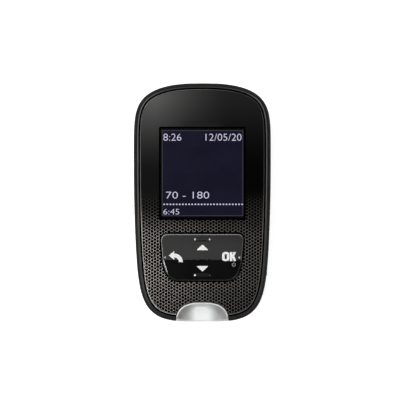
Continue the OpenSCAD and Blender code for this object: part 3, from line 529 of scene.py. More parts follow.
def buildHousing():
    shell = growForm("frontHousing", housingRings())
    wall = case["wall"]
    hollow = growForm("hollow", [level(caseRing(wall + backInset(case["partZ"])), case["partZ"] - 1),
                                 level(caseRing(wall), case["widestZ"]),
                                 level(caseRing(wall + frontInset(case["deckUnderZ"]) + 0.2), case["deckUnderZ"])])
    for spot in housing["bosses"]:
        combine(hollow, drum("boss", housing["bossRadius"], spot, case["partZ"], case["deckUnderZ"] + 1))
    combine(shell, hollow)
    combine(shell, box("trayHole", *housing["tray"]))
    combine(shell, prism("keyHole", keyRing(key["gap"]), *housing["keyCut"]))
    combine(shell, prism("portHole", portRing(port["gap"]), *housing["portCut"]))
    outline = roundedBox(*housing["socket"])
    combine(shell, growForm("socketHole", [[(x, y, z) for x, z in outline] for y in housing["socketCut"]]))
    smoothed(shell)
    settle(shell, rimPlastic, "root", "rim_plastic", "front_housing")
    # the deck and the inward faces above it take the painted shade
    shell.data.materials.append(gapShadePlastic)
    for face in shell.data.polygons:
        middle, inward = face.center / mm, face.center.x * face.normal.x + face.center.y * face.normal.y < 0
        if middle.z > case["deckZ"] - 0.1 and (face.normal.z > 0.9 and middle.z < case["deckZ"] + 0.1 or inward):
            face.material_index = 1


buildHousing()
print("front housing is in")


# face plate: crowned black gloss with a printed field of dots

plate = {
    "edge": 0.5, "edgeTurns": (15, 30, 45, 60, 75, 90), "shares": 22,
    "window": ((-14.45, 14.45), (-5.85, 25.25)), "windowCorner": 0.6,
    "flange": ((-15.25, 15.25), (-6.65, 26.05)), "flangeTop": 18.35,
    "dotPitch": 1.072, "dotRadius": 0.465, "dotEdge": 0.04,
    "fadeOver": (5, -13),                    # the dots come in between these y
    "web": (0.138, 0.13, 0.12), "webRoughness": 0.33, "webCoat": 0.3,
    "stripShade": (-24, -36, 1, 0.62),       # the web is darker towards the strip end
    "black": (0.001, 0.0009, 0.0009), "blackRoughness": 0.06,
    "edgeHighlight": (0.5, 0.48, 0.455), "edgeLineDrop": 0.1,    # where the bevel has fallen by this much, the line ends
    "lineAlong": (6, -12, 0.3, 1), "lineAcross": (-6, 15, 1, 0.34),    # from, to, and the line's strength there
    "skin": (0.01, 0.02),                    # how deep below the crown the printed face ends
    "openings": ((-15.4, 15.4), (-27.6, 27.6)),
    "cut": (17, 20.5), "keyChamfer": 0.4, "chamferOver": (18.9, 19.45),
}


def dotField(tree, place):
    # distance to the nearest dot of a field of rows, each shifted by half a pitch
    pitch = plate["dotPitch"] * mm
    column = pitch * math.sqrt(3)
    nearest = []
    for shift in ((0, 0, 0), (column / 2, pitch / 2, 0)):
        cells = vector(tree, "DIVIDE", vector(tree, "ADD", place, shift), (column, pitch, 1))
        centred = vector(tree, "SUBTRACT", vector(tree, "FRACTION", cells), (0.5, 0.5, 0))
        nearest.append(length(tree, vector(tree, "MULTIPLY", centred, (column, pitch, 0))))
    return calc(tree, "MINIMUM", *nearest)


def faceMaterial():
    material, tree = newMaterial("faceGloss")
    place = objectPlace(tree)
    x, y, z = axesOf(tree, place, "XYZ")
    radius, edge = plate["dotRadius"], plate["dotEdge"]
    outside = rampMm(tree, dotField(tree, place), radius - edge, radius + edge)
    fade = rampMm(tree, y, *plate["fadeOver"])
    falls = []
    for spot, reach, fall in ((x, case["halfWidth"], case["crownAcross"]), (y, case["length"] / 2, case["crownAlong"])):
        share = calc(tree, "DIVIDE", spot, reach * mm)
        falls.append(times(tree, share, share, fall * mm))
    depth = calc(tree, "SUBTRACT", calc(tree, "SUBTRACT", case["faceTop"] * mm, calc(tree, "ADD", *falls)), z)
    onTop = rampMm(tree, depth, *plate["skin"], 1, 0)
    web = times(tree, outside, fade, onTop)
    # a highlight is painted on the bevel outside the openings, strongest near the strip end and at the left
    drop = plate["edgeLineDrop"]
    bevel = times(tree, rampMm(tree, depth, *plate["skin"]), rampMm(tree, depth, drop * 1.2, drop * 0.9))
    outer = calc(tree, "GREATER_THAN", beyond(tree, place, *plate["openings"]), 0.0)
    line = times(tree, bevel, outer, rampMm(tree, y, *plate["lineAlong"]), rampMm(tree, x, *plate["lineAcross"]))
    grain = ramp(tree, cloudy(tree, place, 2600), 0.25, 0.75, 0.86, 1.1)
    webColour = scaled(tree, plate["web"], times(tree, grain, rampMm(tree, y, *plate["stripShade"])))
    rough = ramp(tree, web, 0, 1, plate["blackRoughness"], plate["webRoughness"], smooth=False)
    coat = times(tree, ramp(tree, fade, 0, 1, 1, plate["webCoat"], smooth=False), onTop)
    finishPrincipled(tree, {
        "Base Color": blendColour(tree, web, blendColour(tree, line, plate["black"], plate["edgeHighlight"]), webColour),
        "Metallic": web, "Roughness": rough, "Specular IOR Level": 0.0, "Coat Weight": coat,
        "Coat Roughness": 0.05, "Coat IOR": 1.5})
    return material


def plateRings():
    inset = case["rim"] + case["plateGap"]
    edge = plate["edge"]
    rings = [level(caseRing(inset), case["deckZ"]), crowned(caseRing(inset), edge)]
    for inward, up in rounding(plate["edgeTurns"]):
        rings.append(crowned(caseRing(inset + edge * inward), edge * (1 - up)))
    inner = caseRing(inset + edge + 0.05)
    for i in range(plate["shares"]):
        share = 1 - i / plate["shares"]
        rings.append(crowned([(x * share, y * share) for x, y in inner]))
    return rings


def buildPlate():
    face = growForm("facePlate", plateRings())
    corner, (low, high) = plate["windowCorner"], plate["cut"]
    combine(face, prism("windowHole", roundedBox(*plate["window"], corner), low, high))
    combine(face, prism("flangeHole", roundedBox(*plate["flange"], corner), low, plate["flangeTop"]))
    narrow, wide = keyRing(key["gap"]), keyRing(key["gap"] + plate["keyChamfer"])
    start, end = plate["chamferOver"]
    combine(face, growForm("keyHole", [level(narrow, low), level(narrow, start), level(wide, end), level(wide, high)]))
    combine(face, prism("portHole", portRing(port["gap"]), low, high))
    smoothed(face)
    settle(face, faceMaterial(), "root", "face_gloss", "face_plate")


buildPlate()
print("face plate is in")


# display: a glass pane over the lit panel, with its figures

display = {
    "pane": ((-14.3, 14.3), (-5.7, 25.1)), "corner": 0.6, "low": 17.6, "high": 18.78, "bevel": 0.22,
    "lit": ((-13.5, 13.65), (-4.55, 24.15)), "litZ": 17.32, "litCorner": 0.2,
    "ground": (0.0105, 0.0095, 0.022), "edgeHighlight": (0.05, 0.05, 0.07), "edgeWidth": 0.22,
    "ink": (0.66, 0.63, 0.8), "bold": -0.01, "print": 0.36,    # width of the black print round the pane
    "figures": (("8:26", (-13.0, -7.0), (20.6, 22.95)), ("12/05/20", (1.1, 13.1), (20.6, 22.95)),
                ("70 - 180", (-12.1, 2.3), (1.3, 3.6)), ("6:45", (-13.0, -7.7), (-4.0, -2.15))),
    "dots": (-13.0, 1.04, 0.58, 26), "dotRow": (-0.85, -0.4),    # the dotted line: start, step, length, count
}


def paneMaterial():
    # clear over the panel, with a black print round it, and glossy on its upper face only
    material, tree = newMaterial("windowGlass")
    place = objectPlace(tree)
    clear = node(tree, "ShaderNodeBsdfTransparent", {"Color": (0.94, 0.94, 0.95, 1)})
    gloss = node(tree, "ShaderNodeBsdfGlossy", {"Color": (1, 1, 1, 1),
                                                "Roughness": vary(tree, cloudy(tree, place, 300), 0.02, 0.06)})
    upper = calc(tree, "GREATER_THAN", *axesOf(tree, place, "Z"), (display["low"] + 0.1) * mm)
    share = times(tree, node(tree, "ShaderNodeFresnel", {"IOR": 1.4}).outputs[0], upper)
    glass = node(tree, "ShaderNodeMixShader", {0: share, 1: clear.outputs[0], 2: gloss.outputs[0]})
    border = calc(tree, "GREATER_THAN", beyond(tree, place, *display["pane"]), -display["print"] * mm)
    ink = node(tree, "ShaderNodeBsdfDiffuse", {"Color": (0.0008, 0.0008, 0.0009, 1)})
    finishTree(tree, node(tree, "ShaderNodeMixShader", {0: border, 1: glass.outputs[0], 2: ink.outputs[0]}))
    return material


def litMaterial():
    material, tree = newMaterial("litPanel")
    place = objectPlace(tree)
    width = display["edgeWidth"]
    # the panel's edge glows lighter all round, a painted highlight
    border = rampMm(tree, beyond(tree, place, *display["lit"]), -1.6 * width, -0.8 * width)
    ground = scaled(tree, display["ground"], vary(tree, cloudy(tree, place, 150), 0.9, 1.12))
    finishPrincipled(tree, {
        "Base Color": (0.0, 0.0, 0.0, 1), "Roughness": 0.35, "Specular IOR Level": 0.0,
        "Emission Color": blendColour(tree, border, ground, display["edgeHighlight"]), "Emission Strength": 1.0})
    return material


def inkMaterial(name, colour, glow):
    material, tree = newMaterial(name)
    tint = scaled(tree, colour, vary(tree, cloudy(tree, objectPlace(tree), 900), 0.93, 1.05))
    inputs = {"Base Color": tint, "Roughness": 0.45}
    if glow:
        inputs.update({"Base Color": (0.02, 0.02, 0.025, 1), "Emission Color": tint, "Emission Strength": glow})
    finishPrincipled(tree, inputs)
    return material


def figures(text, x, y, z):
    # plain figures, made a mesh and fitted into their place
    clearSelection()
    bpy.ops.object.text_add()
    words = bpy.context.object.data
    words.body, words.offset, words.resolution_u = text, display["bold"], 4
    bpy.ops.object.convert(target="MESH")
    made = bpy.context.object
    made.name = "figures"
    xs, ys = ([vertex.co[i] for vertex in made.data.vertices] for i in (0, 1))
    for vertex in made.data.vertices:
        u = (vertex.co.x - min(xs)) / (max(xs) - min(xs))
        v = (vertex.co.y - min(ys)) / (max(ys) - min(ys))
        vertex.co = ((x[0] + (x[1] - x[0]) * u) * mm, (y[0] + (y[1] - y[0]) * v) * mm, z * mm)
    return made


def paneOutline(inset):
    return roundedBox(*display["pane"], display["corner"] - inset * 0.5, inset=inset)


def buildDisplay():
    low, high, bevel = display["low"], display["high"], display["bevel"]
    rings = [level(paneOutline(0), low), level(paneOutline(0), high - bevel)]
    for inward, up in rounding((30, 60, 90)):
        rings.append(level(paneOutline(bevel * inward), high - bevel + bevel * up))
    pane = growForm("displayPane", rings)
    smoothed(pane, 40)
    settle(pane, paneMaterial(), "root", "window_glass", "display_window")
    z = display["litZ"]
    panel = prism("litPanel", roundedBox(*display["lit"], display["litCorner"]), z - 0.02, z)
    settle(panel, litMaterial(), "root", "display")
    rows = [figures(text, x, y, z + 0.02) for text, x, y in display["figures"]]
    start, step, long, count = display["dots"]
    for i in range(count):
        x = start + i * step
        rows.append(prism("dot", roundedBox((x, x + long), display["dotRow"], 0.15, 2), z, z + 0.02))
    shown = joined("displayFigures", rows)
    settle(shown, inkMaterial("displayInk", display["ink"], 1.0), "root", "display")


buildDisplay()
print("display is in")


# key plate: one rocker with a ridge across it, feeler bars, nubs and printed marks

keyTop = {
    "edge": 0.4, "edgeTurns": (15, 30, 45, 60, 75, 90), "shares": 14, "crease": 0.12,
    "bar": (5.4, 1.2, 0.18), "barEdge": 0.16, "barY": (-12.35, -24.25),    # long, wide and proud by
    "nubs": ((-12.35, -18.3), (12.35, -18.3)), "nubRadius": 0.32, "nubProud": 0.13,
    "black": (0.002, 0.002, 0.0021), "roughness": 0.08, "density": 1.42,
    "edgeHighlight": (0.34, 0.34, 0.345), "dullEdge": 0.14,
    "leftLine": (-11.4, -12.6), "topLine": (-12.2, -11.0),    # the painted edge highlight is strong beyond this x and this y
    "greyerSpot": (0, -24.25, 2.9, 0.66), "greyerTone": 0.012,        # the lower bar is a little greyer: x, y, reaches
    "tip": (0.75, 0.75, 0.75),
    # painted glints on the feeler bars' ends and on the nubs
    "keyGlints": ((-2.45, -12.3, 0.24, 0.9), (2.45, -12.3, 0.24, 0.9), (-2.45, -24.2, 0.28, 1), (2.45, -24.25, 0.2, 0.1),
               (-12.35, -18.3, 0.26, 0.6), (12.35, -18.3, 0.28, 0.9)),    # x, y, radius, strength
}

keyPrint = {
    "thick": 0.012, "lift": 0.004, "corner": 0.12,
    "white": (0.86, 0.86, 0.86), "grey": (0.2, 0.2, 0.2),
    "bend": ((-9.35, -19.83), 2.83, 1.55), "head": (1.75, 1.5),     # the arrow's middle, outer and inner radius
    "up": ((-1.95, -15.87), (2.05, -15.87), (0.05, -14.02)),
    "down": ((0.05, -23.02), (2.05, -21.15), (-1.95, -21.15)),
    "letterO": ((6.6, 9.03), (-19.5, -16.5), 0.9), "inside": ((7.42, 8.21), (-18.85, -17.15), 0.36),
    "letterK": ((9.2, -19.5), (10.0, -19.5), (10.0, -18.6), (10.12, -18.4), (10.45, -19.5), (11.27, -19.5),
                (10.66, -17.87), (11.2, -16.5), (10.4, -16.5), (10.0, -17.5), (10.0, -16.5), (9.2, -16.5)),
    "power": ((10.49, -20.72), 0.68, 0.42), "stem": ((10.37, 10.61), (-20.62, -19.92)),
}


def keySlopes():
    # how fast the plate falls above and below its ridge
    reach = key["height"] / 2 + 1
    return key["fall"][0] / (key["y"] + reach - key["ridge"]), key["fall"][1] / (key["ridge"] - key["y"] + reach)


def keyZ(y):
    above, below = keySlopes()
    return key["ridgeZ"] - max(above * (y - key["ridge"]), below * (key["ridge"] - y))


def bendToKey(piece, lift=0.0):
    # cuts the mesh along the ridge and close beside it, then gives every point the key's height there
    pick(piece)
    bpy.ops.object.mode_set(mode="EDIT")
    for beside in (-keyTop["crease"], 0, keyTop["crease"]):
        bpy.ops.mesh.select_all(action="SELECT")
        bpy.ops.mesh.bisect(plane_co=(0, (key["ridge"] + beside) * mm, 0), plane_no=(0, 1, 0))
    bpy.ops.object.mode_set(mode="OBJECT")
    for vertex in piece.data.vertices:
        if vertex.co.z > (key["under"] + 0.6) * mm:
            vertex.co.z += (keyZ(vertex.co.y / mm) + lift - key["ridgeZ"]) * mm


def keyMaterial():
    # black gloss, with a highlight painted along the rounded edge at the top and at the left
    material, tree = newMaterial("keyGloss")
    place = objectPlace(tree)
    acrossKey, alongKey, z = axesOf(tree, place, "XYZ")
    fromRidge = calc(tree, "SUBTRACT", alongKey, key["ridge"] * mm)
    above, below = keySlopes()
    fallen = calc(tree, "MAXIMUM", times(tree, fromRidge, above), times(tree, fromRidge, -below))
    depth = calc(tree, "SUBTRACT", calc(tree, "SUBTRACT", key["ridgeZ"] * mm, fallen), z)
    band = times(tree, rampMm(tree, depth, 0.01, 0.03), rampMm(tree, depth, 0.4, 0.3))
    lit = calc(tree, "MAXIMUM", rampMm(tree, acrossKey, *keyTop["leftLine"]),
               rampMm(tree, alongKey, *keyTop["topLine"]))
    line = times(tree, band, calc(tree, "MAXIMUM", lit, keyTop["dullEdge"]))
    # painted glints on the feeler bars' ends and on the nubs
    tips = 0.0
    for x, y, radius, strength in keyTop["keyGlints"]:
        apart = length(tree, vector(tree, "SUBTRACT", place, (x * mm, y * mm, (keyZ(y) + 0.15) * mm)))
        tips = calc(tree, "MAXIMUM", tips, rampMm(tree, apart, radius * 1.5, radius, 0, strength))
    cloud = cloudy(tree, place, 160, 3)
    grey = keyTop["greyerTone"]
    black = blendColour(tree, ramp(tree, apartIn(tree, place, *keyTop["greyerSpot"]), 1, 0.8),
                        scaled(tree, keyTop["black"], vary(tree, cloud, 0.9, 1.1)), (grey, grey * 1.03, grey))
    rough = keyTop["roughness"]
    finishPrincipled(tree, {
        "Base Color": blendColour(tree, tips, blendColour(tree, line, black, keyTop["edgeHighlight"]), keyTop["tip"]),
        "Roughness": vary(tree, cloud, rough * 0.85, rough * 1.2), "Coat Weight": 1.0,
        "Coat Roughness": 0.04, "Coat IOR": keyTop["density"]})
    return material


def feelerBar(y):
    long, wide, proud = keyTop["bar"]
    low, high, edge = key["under"] + 1, key["ridgeZ"] + proud, keyTop["barEdge"]
    sides = (-long / 2, long / 2), (y - wide / 2, y + wide / 2)
    rings = []
    for inset, z in ((0, low), (0, high - edge), (edge * 0.3, high - edge * 0.3), (edge, high)):
        rings.append(level(roundedBox(*sides, wide / 2 - inset - 0.01, 8, inset), z))
    return growForm("feelerBar", rings)


def printed(name, points):
    return prism(name, points, key["ridgeZ"], key["ridgeZ"] + keyPrint["thick"])


def arc(middle, radius, degrees):
    return [(middle[0] + radius * math.cos(math.radians(a)), middle[1] + radius * math.sin(math.radians(a)))
            for a in degrees]


def keyMarks():
    middle, outer, inner = keyPrint["bend"]
    long, half = keyPrint["head"]
    shaft = middle[1] + (outer + inner) / 2
    head = [(middle[0], shaft + half), (middle[0] - long, shaft), (middle[0], shaft - half)]
    pieces = [printed("arrow", arc(middle, outer, range(0, 91, 6)) + head + arc(middle, inner, range(90, -1, -6)))]
    for name in ("up", "down"):
        pieces.append(printed(name, roundedOutline([(*spot, keyPrint["corner"]) for spot in keyPrint[name]], 3)))
    letter = printed("letterO", roundedBox(*keyPrint["letterO"]))
    combine(letter, prism("inside", roundedBox(*keyPrint["inside"]), key["ridgeZ"] - 1, key["ridgeZ"] + 1))
    return pieces + [letter, printed("letterK", keyPrint["letterK"])]


def powerMark():
    # an open ring with a short bar in its gap
    middle, outer, inner = keyPrint["power"]
    ring = arc(middle, outer, range(130, 411, 20)) + arc(middle, inner, range(410, 129, -20))
    return [printed("powerRing", ring), printed("powerStem", roundedBox(*keyPrint["stem"], 0.05, 2))]


def buildKey():
    edge, top, under = keyTop["edge"], key["ridgeZ"], key["under"]
    rings = [level(keyRing(), z) for z in (under, under + 0.5, top - edge)]
    for inward, up in rounding(keyTop["edgeTurns"]):
        rings.append(level(keyRing(-edge * inward), top - edge * (1 - up)))
    inner = keyRing(-edge - 0.04)
    for i in range(keyTop["shares"]):
        share = 1 - i / keyTop["shares"]
        rings.append([(x * share, key["y"] + (y - key["y"]) * share, top) for x, y in inner])
    parts = [growForm("keyPlate", rings)] + [feelerBar(y) for y in keyTop["barY"]]
    radius = keyTop["nubRadius"]
    parts += [ball("nub", radius, (*spot, top + keyTop["nubProud"] - radius), 16) for spot in keyTop["nubs"]]
    body = joined("keyPlate", parts)
    bendToKey(body)
    smoothed(body, 35)
    settle(body, keyMaterial(), "key_plate", "key_gloss", "key_plate")
    for name, marks, ink in (("keyMarks", keyMarks(), "white"), ("powerMark", powerMark(), "grey")):
        mark = joined(name, marks)
        bendToKey(mark, keyPrint["lift"])
        settle(mark, inkMaterial(name + "Ink", keyPrint[ink], 0), "key_plate", "key_gloss")


buildKey()
print("key plate is in")


# strip port lens: frosted, with a lip round a fingertip scoop

lens = {
    "topZ": 18.95, "rounding": 0.25,
    "basin": ((0.34, 19.6), (0.34, 18.86), (0.46, 18.66), (0.75, 18.42), (1.15, 18.22), (1.8, 18.02), (2.8, 17.84),
              (4.0, 17.74), (5.2, 17.7)),  # how far in from the lens's outline, and at what height
    "basinTilt": 0.16, "tiltFrom": -33.7,  # the basin falls away towards the strip end
    "tiltUnder": 18.7, "tiltOver": 0.4,    # from this height down, and fully this much lower
    "slot": ((-3.6, 3.6), (-42, -33), (10.5, 11.5)),
    # painted light and shade: a light middle, grey sides, a light lip and a glint
    "middle": (0.9, 0.92, 0.915), "side": (0.4, 0.4, 0.395), "sideOver": (1.5, 5.6), "roughness": 0.3,
    "glow": 0.1, "lip": (0.76, 0.77, 0.77), "lipOver": (18.62, 18.72),
    "shoulder": (0.64, 0.84, 1, 0.78),       # from, to, as shares of the lens's reach, and the shades there
    "glint": (-0.4, -35.2, 2.1, 0.32), "glintWhite": (0.95, 0.96, 0.96),    # x, y, reach across and along
}


def lensMaterial():
    # frosted plastic with a painted reflection: light in its middle and greyer at its sides
    material, tree = newMaterial("lensFrosted")
    place = objectPlace(tree)
    x, z = axesOf(tree, place, "XZ")
    side = rampMm(tree, calc(tree, "ABSOLUTE", x), *lens["sideOver"])
    # painted light: a thin highlight on the lip, painted shade on the shoulder below it, and a painted glint
    away = apartIn(tree, place, 0, port["endY"], port["half"], port["height"])
    tint = scaled(tree, blendColour(tree, side, lens["middle"], lens["side"]), ramp(tree, away, *lens["shoulder"]))
    glint = ramp(tree, apartIn(tree, place, *lens["glint"]), 1.3, 0.6)
    tint = blendColour(tree, glint, tint, lens["glintWhite"])
    tint = blendColour(tree, rampMm(tree, z, *lens["lipOver"]), tint, lens["lip"])
    cloud = cloudy(tree, place, 260, 3)
    colour = scaled(tree, tint, vary(tree, cloud, 0.96, 1.04))
    # the faint glow over the whole lens is painted light
    finishPrincipled(tree, {
        "Base Color": colour, "Roughness": vary(tree, cloud, lens["roughness"] * 0.9, lens["roughness"] * 1.15),
        "Coat Weight": 0.3, "Coat Roughness": 0.08, "Emission Color": colour, "Emission Strength": lens["glow"]})
    return material


def buildLens():
    edge = lens["rounding"]
    top = lens["topZ"] - edge
    form = [level(portRing(), 9), level(portRing(), top)]
    for inward, up in rounding((30, 60, 90)):
        form.append(level(portRing(-edge * inward), top + edge * up))
    body = growForm("stripPortLens", form)
    # its end follows the case
    rings = [level(caseRing(backInset(z)), z) for z in (9.55, 10.5, 11.4)]
    for i in range(11):
        z = case["widestZ"] + (top - case["widestZ"]) * i / 10
        rings.append(level(caseRing(frontInset(z)), z))
    rings.append(level(caseRing(frontInset(top) + 0.1), top + edge + 0.01))
    combine(body, growForm("caseForm", rings), "INTERSECT")
    basin = []
    for inset, z in lens["basin"]:
        tilt = lens["basinTilt"] * min(1, max(0.0, lens["tiltUnder"] - z) / lens["tiltOver"])
        basin.append([(x, y, z - tilt * max(0.0, lens["tiltFrom"] - y)) for x, y in portRing(-inset)])
    combine(body, growForm("basin", basin))
    combine(body, box("slot", *lens["slot"]))
    smoothed(body)
    settle(body, lensMaterial(), "root", "lens_frosted", "strip_port_lens")


buildLens()
print("strip port lens is in")


# rear cover: a smooth shell with the battery bay, the hinge's seat, the clip's pocket and the screw wells

cover = {
    "low": 1.6, "innerRound": 6.1,
    "cells": ((0, -4.4), (0, 16.6)), "cellRadius": 10.3, "waist": 8.4048, "bayTop": 6.4,
    "door": ((-12.15, 12.15), (-21.25, 29.6)), "doorTop": 1.5, "doorCorner": 1.5,
    "hingeSeat": ((-12.15, 12.15), (28.25, 30.8), (-1, 2.4)), "hinge": (29.6, 1.15), "bore": 0.65, "boreEnd": 13.1,
    "pocket": ((-5.5, 5.5), (-22.2, -16.2), (1.5, 4.4)), "notch": ((-4.85, 4.85), (-22.15, -21.1), (-1, 1)),
    "scoop": (12, (0, -25.1, -11.2)),
    "screwHead": 2.1, "screwShank": 1.1, "headSeat": 3, "tower": 2.7,
    "button": ((-24.75, -15.45), (4.2, 8.7)), "buttonReach": (19, 24),
    "bay": ((-11.5, 11.5), (-15.9, 28.1), (0.8, 7.6)), "hingeBlock": ((-14.1, 14.1), (26.9, 32.05), (0.8, 3.4)),
    "pocketBlock": ((-6.5, 6.5), (-25.2, -15.2), (0.8, 5.7)),
}


def backPoint(degrees, roundWidth, low):
    a = math.radians(degrees)
    power = 2 / case["backPower"]
    return roundWidth * (1 - math.sin(a) ** power), low + (case["widestZ"] - low) * (1 - math.cos(a) ** power)


def buildCover():
    rings = [level(caseRing(case["backRound"] + 0.4), 0)]
    for degrees in (0, 4, 9, 15, 21, 28, 35, 42, 49, 56, 63):
        inset, z = backPoint(degrees, case["backRound"], 0)
        rings.append(level(caseRing(inset), z))
    for z in (7.2, 8.3, case["partZ"] - 0.1):
        rings.append(level(caseRing(backInset(z)), z))
    rings.append(level(caseRing(backInset(case["partZ"]) + 0.1), case["partZ"]))
    shell = growForm("rearCover", rings)
    inside = []
    for degrees in (0, 16, 32, 50):
        inset, z = backPoint(degrees, cover["innerRound"], cover["low"])
        inside.append(level(caseRing(case["wall"] + inset), z))
    inside.append(level(caseRing(case["wall"] + 0.05), case["partZ"] + 1))
    hollow = growForm("hollow", inside)
    for spot in housing["bosses"]:
        combine(hollow, drum("tower", cover["tower"], spot, 0.8, case["partZ"] - 0.05))
    for block in ("bay", "hingeBlock", "pocketBlock"):
        combine(hollow, box("block", *cover[block]))
    combine(shell, hollow)
    for spot in cover["cells"]:
        combine(shell, drum("cell", cover["cellRadius"], spot, -1, cover["bayTop"], 96))
    reach, middles = cover["waist"], [y for x, y in cover["cells"]]
    combine(shell, box("waist", (-reach, reach), middles, (-1, cover["bayTop"])))
    combine(shell, prism("doorway", roundedBox(*cover["door"], cover["doorCorner"]), -1, cover["doorTop"]))
    for block in ("hingeSeat", "pocket", "notch"):
        combine(shell, box("block", *cover[block]))
    y, z = cover["hinge"]
    combine(shell, bar("bore", cover["bore"], (-cover["boreEnd"], y, z), (cover["boreEnd"], y, z)))
    combine(shell, ball("scoop", *cover["scoop"]))
    for spot in housing["bosses"]:
        combine(shell, drum("well", cover["screwHead"], spot, -1, cover["headSeat"]))
        combine(shell, drum("shank", cover["screwShank"], spot, 2, case["partZ"] + 1))
    (y0, y1), (z0, z1) = cover["button"]
    outline = roundedBox((y0, y1), (z0, z1), (z1 - z0) / 2 - 0.01, 12)
    combine(shell, growForm("buttonHole", [[(x, y, z) for y, z in outline] for x in cover["buttonReach"]]))
    smoothed(shell)
    settle(shell, backPlastic, "root", "back_plastic", "rear_cover")


buildCover()
print("rear cover is in")


# finishes of the CAD's own pieces

def boardMaterial():
    # green lacquer over fine copper traces
    material, tree = newMaterial("circuitBoard")
    traces = node(tree, "ShaderNodeTexBrick", {
        "Vector": objectPlace(tree), "Scale": 260, "Mortar Size": 0.06, "Color1": (0, 0, 0, 1),
        "Color2": (0.15, 0.15, 0.15, 1), "Mortar": (1, 1, 1, 1)})
    bump = node(tree, "ShaderNodeBump", {"Height": traces.outputs["Fac"], "Strength": 0.2, "Distance": 0.03 * mm})
    finishPrincipled(tree, {
        "Base Color": blendColour(tree, traces.outputs["Color"], (0.012, 0.09, 0.045), (0.03, 0.16, 0.08)),
        "Roughness": 0.3, "Coat Weight": 0.4, "Normal": bump.outputs[0]})
    return material


finishes = {
    "batteryPlastic": (("battery_door",), dict(colour=(0.026, 0.026, 0.027), roughness=0.55, grain=0.6)),
    "buttonPlastic": (("ejector_button",), dict(colour=(0.06, 0.06, 0.064), roughness=0.42, grain=0.25)),
    "gasketFoam": (("lcd_gasket",), dict(colour=(0.0008, 0.0008, 0.0009), roughness=0.95, grain=0.4, shine=0.02)),
    "panelGlass": (("lcd_glass",), dict(colour=(0.001, 0.001, 0.0014), roughness=0.2, shine=0.05, mottle=0.3)),
    "whitePlastic": (("lcd_frame", "lcd_backlight", "key_pivot", "pivot_seat", "strip_connector", "strip_pusher",
                      "port_lights"), dict(colour=(0.72, 0.71, 0.67), roughness=0.45, grain=0.1, mottle=0.05)),
    "greySilicone": (("key_mat",), dict(colour=(0.03, 0.031, 0.033), roughness=0.6, grain=0.15)),
    "amberFilm": (("lcd_ribbon",), dict(colour=(0.42, 0.16, 0.025), roughness=0.3, mottle=0.2)),
    "springSteel": (("dome_switches", "cell_spring_contacts", "cell_side_contacts", "ejector_spring"),
                    dict(colour=(0.6, 0.58, 0.52), roughness=0.28, metallic=1.0)),
    "goldPlate": (("strip_contacts",), dict(colour=(0.75, 0.5, 0.2), roughness=0.22, metallic=1.0)),
    "cellSteel": (("coin_cell_upper", "coin_cell_lower"),
                  dict(colour=(0.62, 0.62, 0.61), roughness=0.26, grain=0.05, metallic=1.0, mottle=0.08)),
    "shieldTin": (("usb_socket", "radio_module"), dict(colour=(0.52, 0.53, 0.54), roughness=0.34, metallic=1.0)),
    "blackPlastic": (("usb_tongue", "beeper", "processor"),
                     dict(colour=(0.012, 0.012, 0.013), roughness=0.5, grain=0.2)),
    "chipCeramic": (("board_components",),
                    dict(colour=(0.18, 0.13, 0.08), roughness=0.5, mottle=0.3, cloudScale=600)),
    "screwSteel": (("case_screws",), dict(colour=(0.33, 0.33, 0.35), roughness=0.36, grain=0.05, metallic=1.0)),
}
for finishName, (nodeNames, values) in finishes.items():
    finish = plasticMaterial(finishName, **values)
    for nodeName in nodeNames:
        paintNode(nodeName, finish)
paintNode("main_board", boardMaterial())
print("CAD pieces have their finishes")


# lights and floor

studio = {    # in metres
    "world": 0.03,
    "floorShade": 0.72, "floorGlow": 0.86,
    "lamps": {
        "keyLamp": {"place": (-0.42, 0.5, 0.7), "size": 0.4, "watts": 5},
        "fillLamp": {"place": (0.55, 0.1, 0.6), "size": 0.4, "watts": 1.2},
        "webLamp": {"place": (-0.24, -0.18, 0.95), "size": 0.16, "watts": 3.4},
    },
    # soft boxes over the camera: the large one fades from its top left corner, the small one is for the keys
    "boxes": {
        "softBox": {"height": 1.35, "x": (-0.42, 0.24), "y": (0.0, 0.42), "strength": 2.6,
                    "fadeX": (0.075, -0.105, 0.13), "fadeY": (0.037, 0.137, 0.06)},
        "keyBox": {"height": 1.34, "x": (-0.045, 0.045), "y": (0.07, 0.1045), "strength": 0.66,
                   "fadeX": (0.2, 0.1, 0), "fadeY": (0.1035, 0.0985, 0)},
    },
}


def makeLamp(name, values):
    data = bpy.data.lights.new(name, "AREA")
    data.shape = "SQUARE"
    data.size = values["size"]
    data.energy = values["watts"]
    lamp = bpy.data.objects.new(name, data)
    lamp.location = values["place"]
    lamp.rotation_euler = (-Vector(values["place"])).to_track_quat("-Z", "Y").to_euler()
    bpy.context.scene.collection.objects.link(lamp)


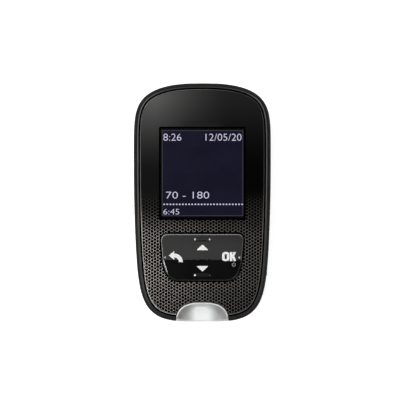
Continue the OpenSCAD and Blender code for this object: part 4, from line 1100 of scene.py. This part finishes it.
def makeWorld(strength):
    world = bpy.data.worlds.new("studio")
    bpy.context.scene.world = world
    world.use_nodes = True
    background = world.node_tree.nodes["Background"]
    background.inputs["Color"].default_value = (1, 1, 1, 1)
    background.inputs["Strength"].default_value = strength


def makeFloor():
    clearSelection()
    bpy.ops.mesh.primitive_plane_add(size=8)
    floor = bpy.context.object
    floor.name = "floor"
    material, tree = newMaterial("floorWhite")
    shade = studio["floorShade"]
    paint = node(tree, "ShaderNodeBsdfDiffuse", {"Color": (shade, shade, shade, 1)})
    glow = node(tree, "ShaderNodeEmission", {"Strength": studio["floorGlow"]})
    both = node(tree, "ShaderNodeAddShader", {0: paint.outputs[0], 1: glow.outputs[0]})
    rays = node(tree, "ShaderNodeLightPath")
    seen = rays.outputs["Is Camera Ray"]
    for kind in ("Is Glossy Ray", "Is Transmission Ray"):
        seen = calc(tree, "MAXIMUM", seen, rays.outputs[kind])
    finishTree(tree, node(tree, "ShaderNodeMixShader", {0: seen, 1: paint.outputs[0], 2: both.outputs[0]}))
    floor.data.materials.append(material)


def makeBox(name, values):
    clearSelection()
    middle = [sum(values[axis]) / 2 for axis in "xy"] + [values["height"]]
    bpy.ops.mesh.primitive_plane_add(size=1, location=middle)
    bpy.context.object.scale = [values[axis][1] - values[axis][0] for axis in "xy"] + [1]
    panel = placed(name)
    material, tree = newMaterial(name + "Glow")
    strength = values["strength"]
    for spot, (start, end, rest) in zip(axesOf(tree, objectPlace(tree), "XY"), (values["fadeX"], values["fadeY"])):
        share = calc(tree, "POWER", ramp(tree, spot, start, end, smooth=False), 2)
        strength = times(tree, strength, ramp(tree, share, 0, 1, rest, 1, smooth=False))
    finishTree(tree, node(tree, "ShaderNodeEmission", {"Color": (1, 0.985, 0.97, 1), "Strength": strength}))
    panel.data.materials.append(material)


makeWorld(studio["world"])
makeFloor()
for boxName, boxValues in studio["boxes"].items():
    makeBox(boxName, boxValues)
for lampName, lampValues in studio["lamps"].items():
    makeLamp(lampName, lampValues)
print("lights and floor are in")
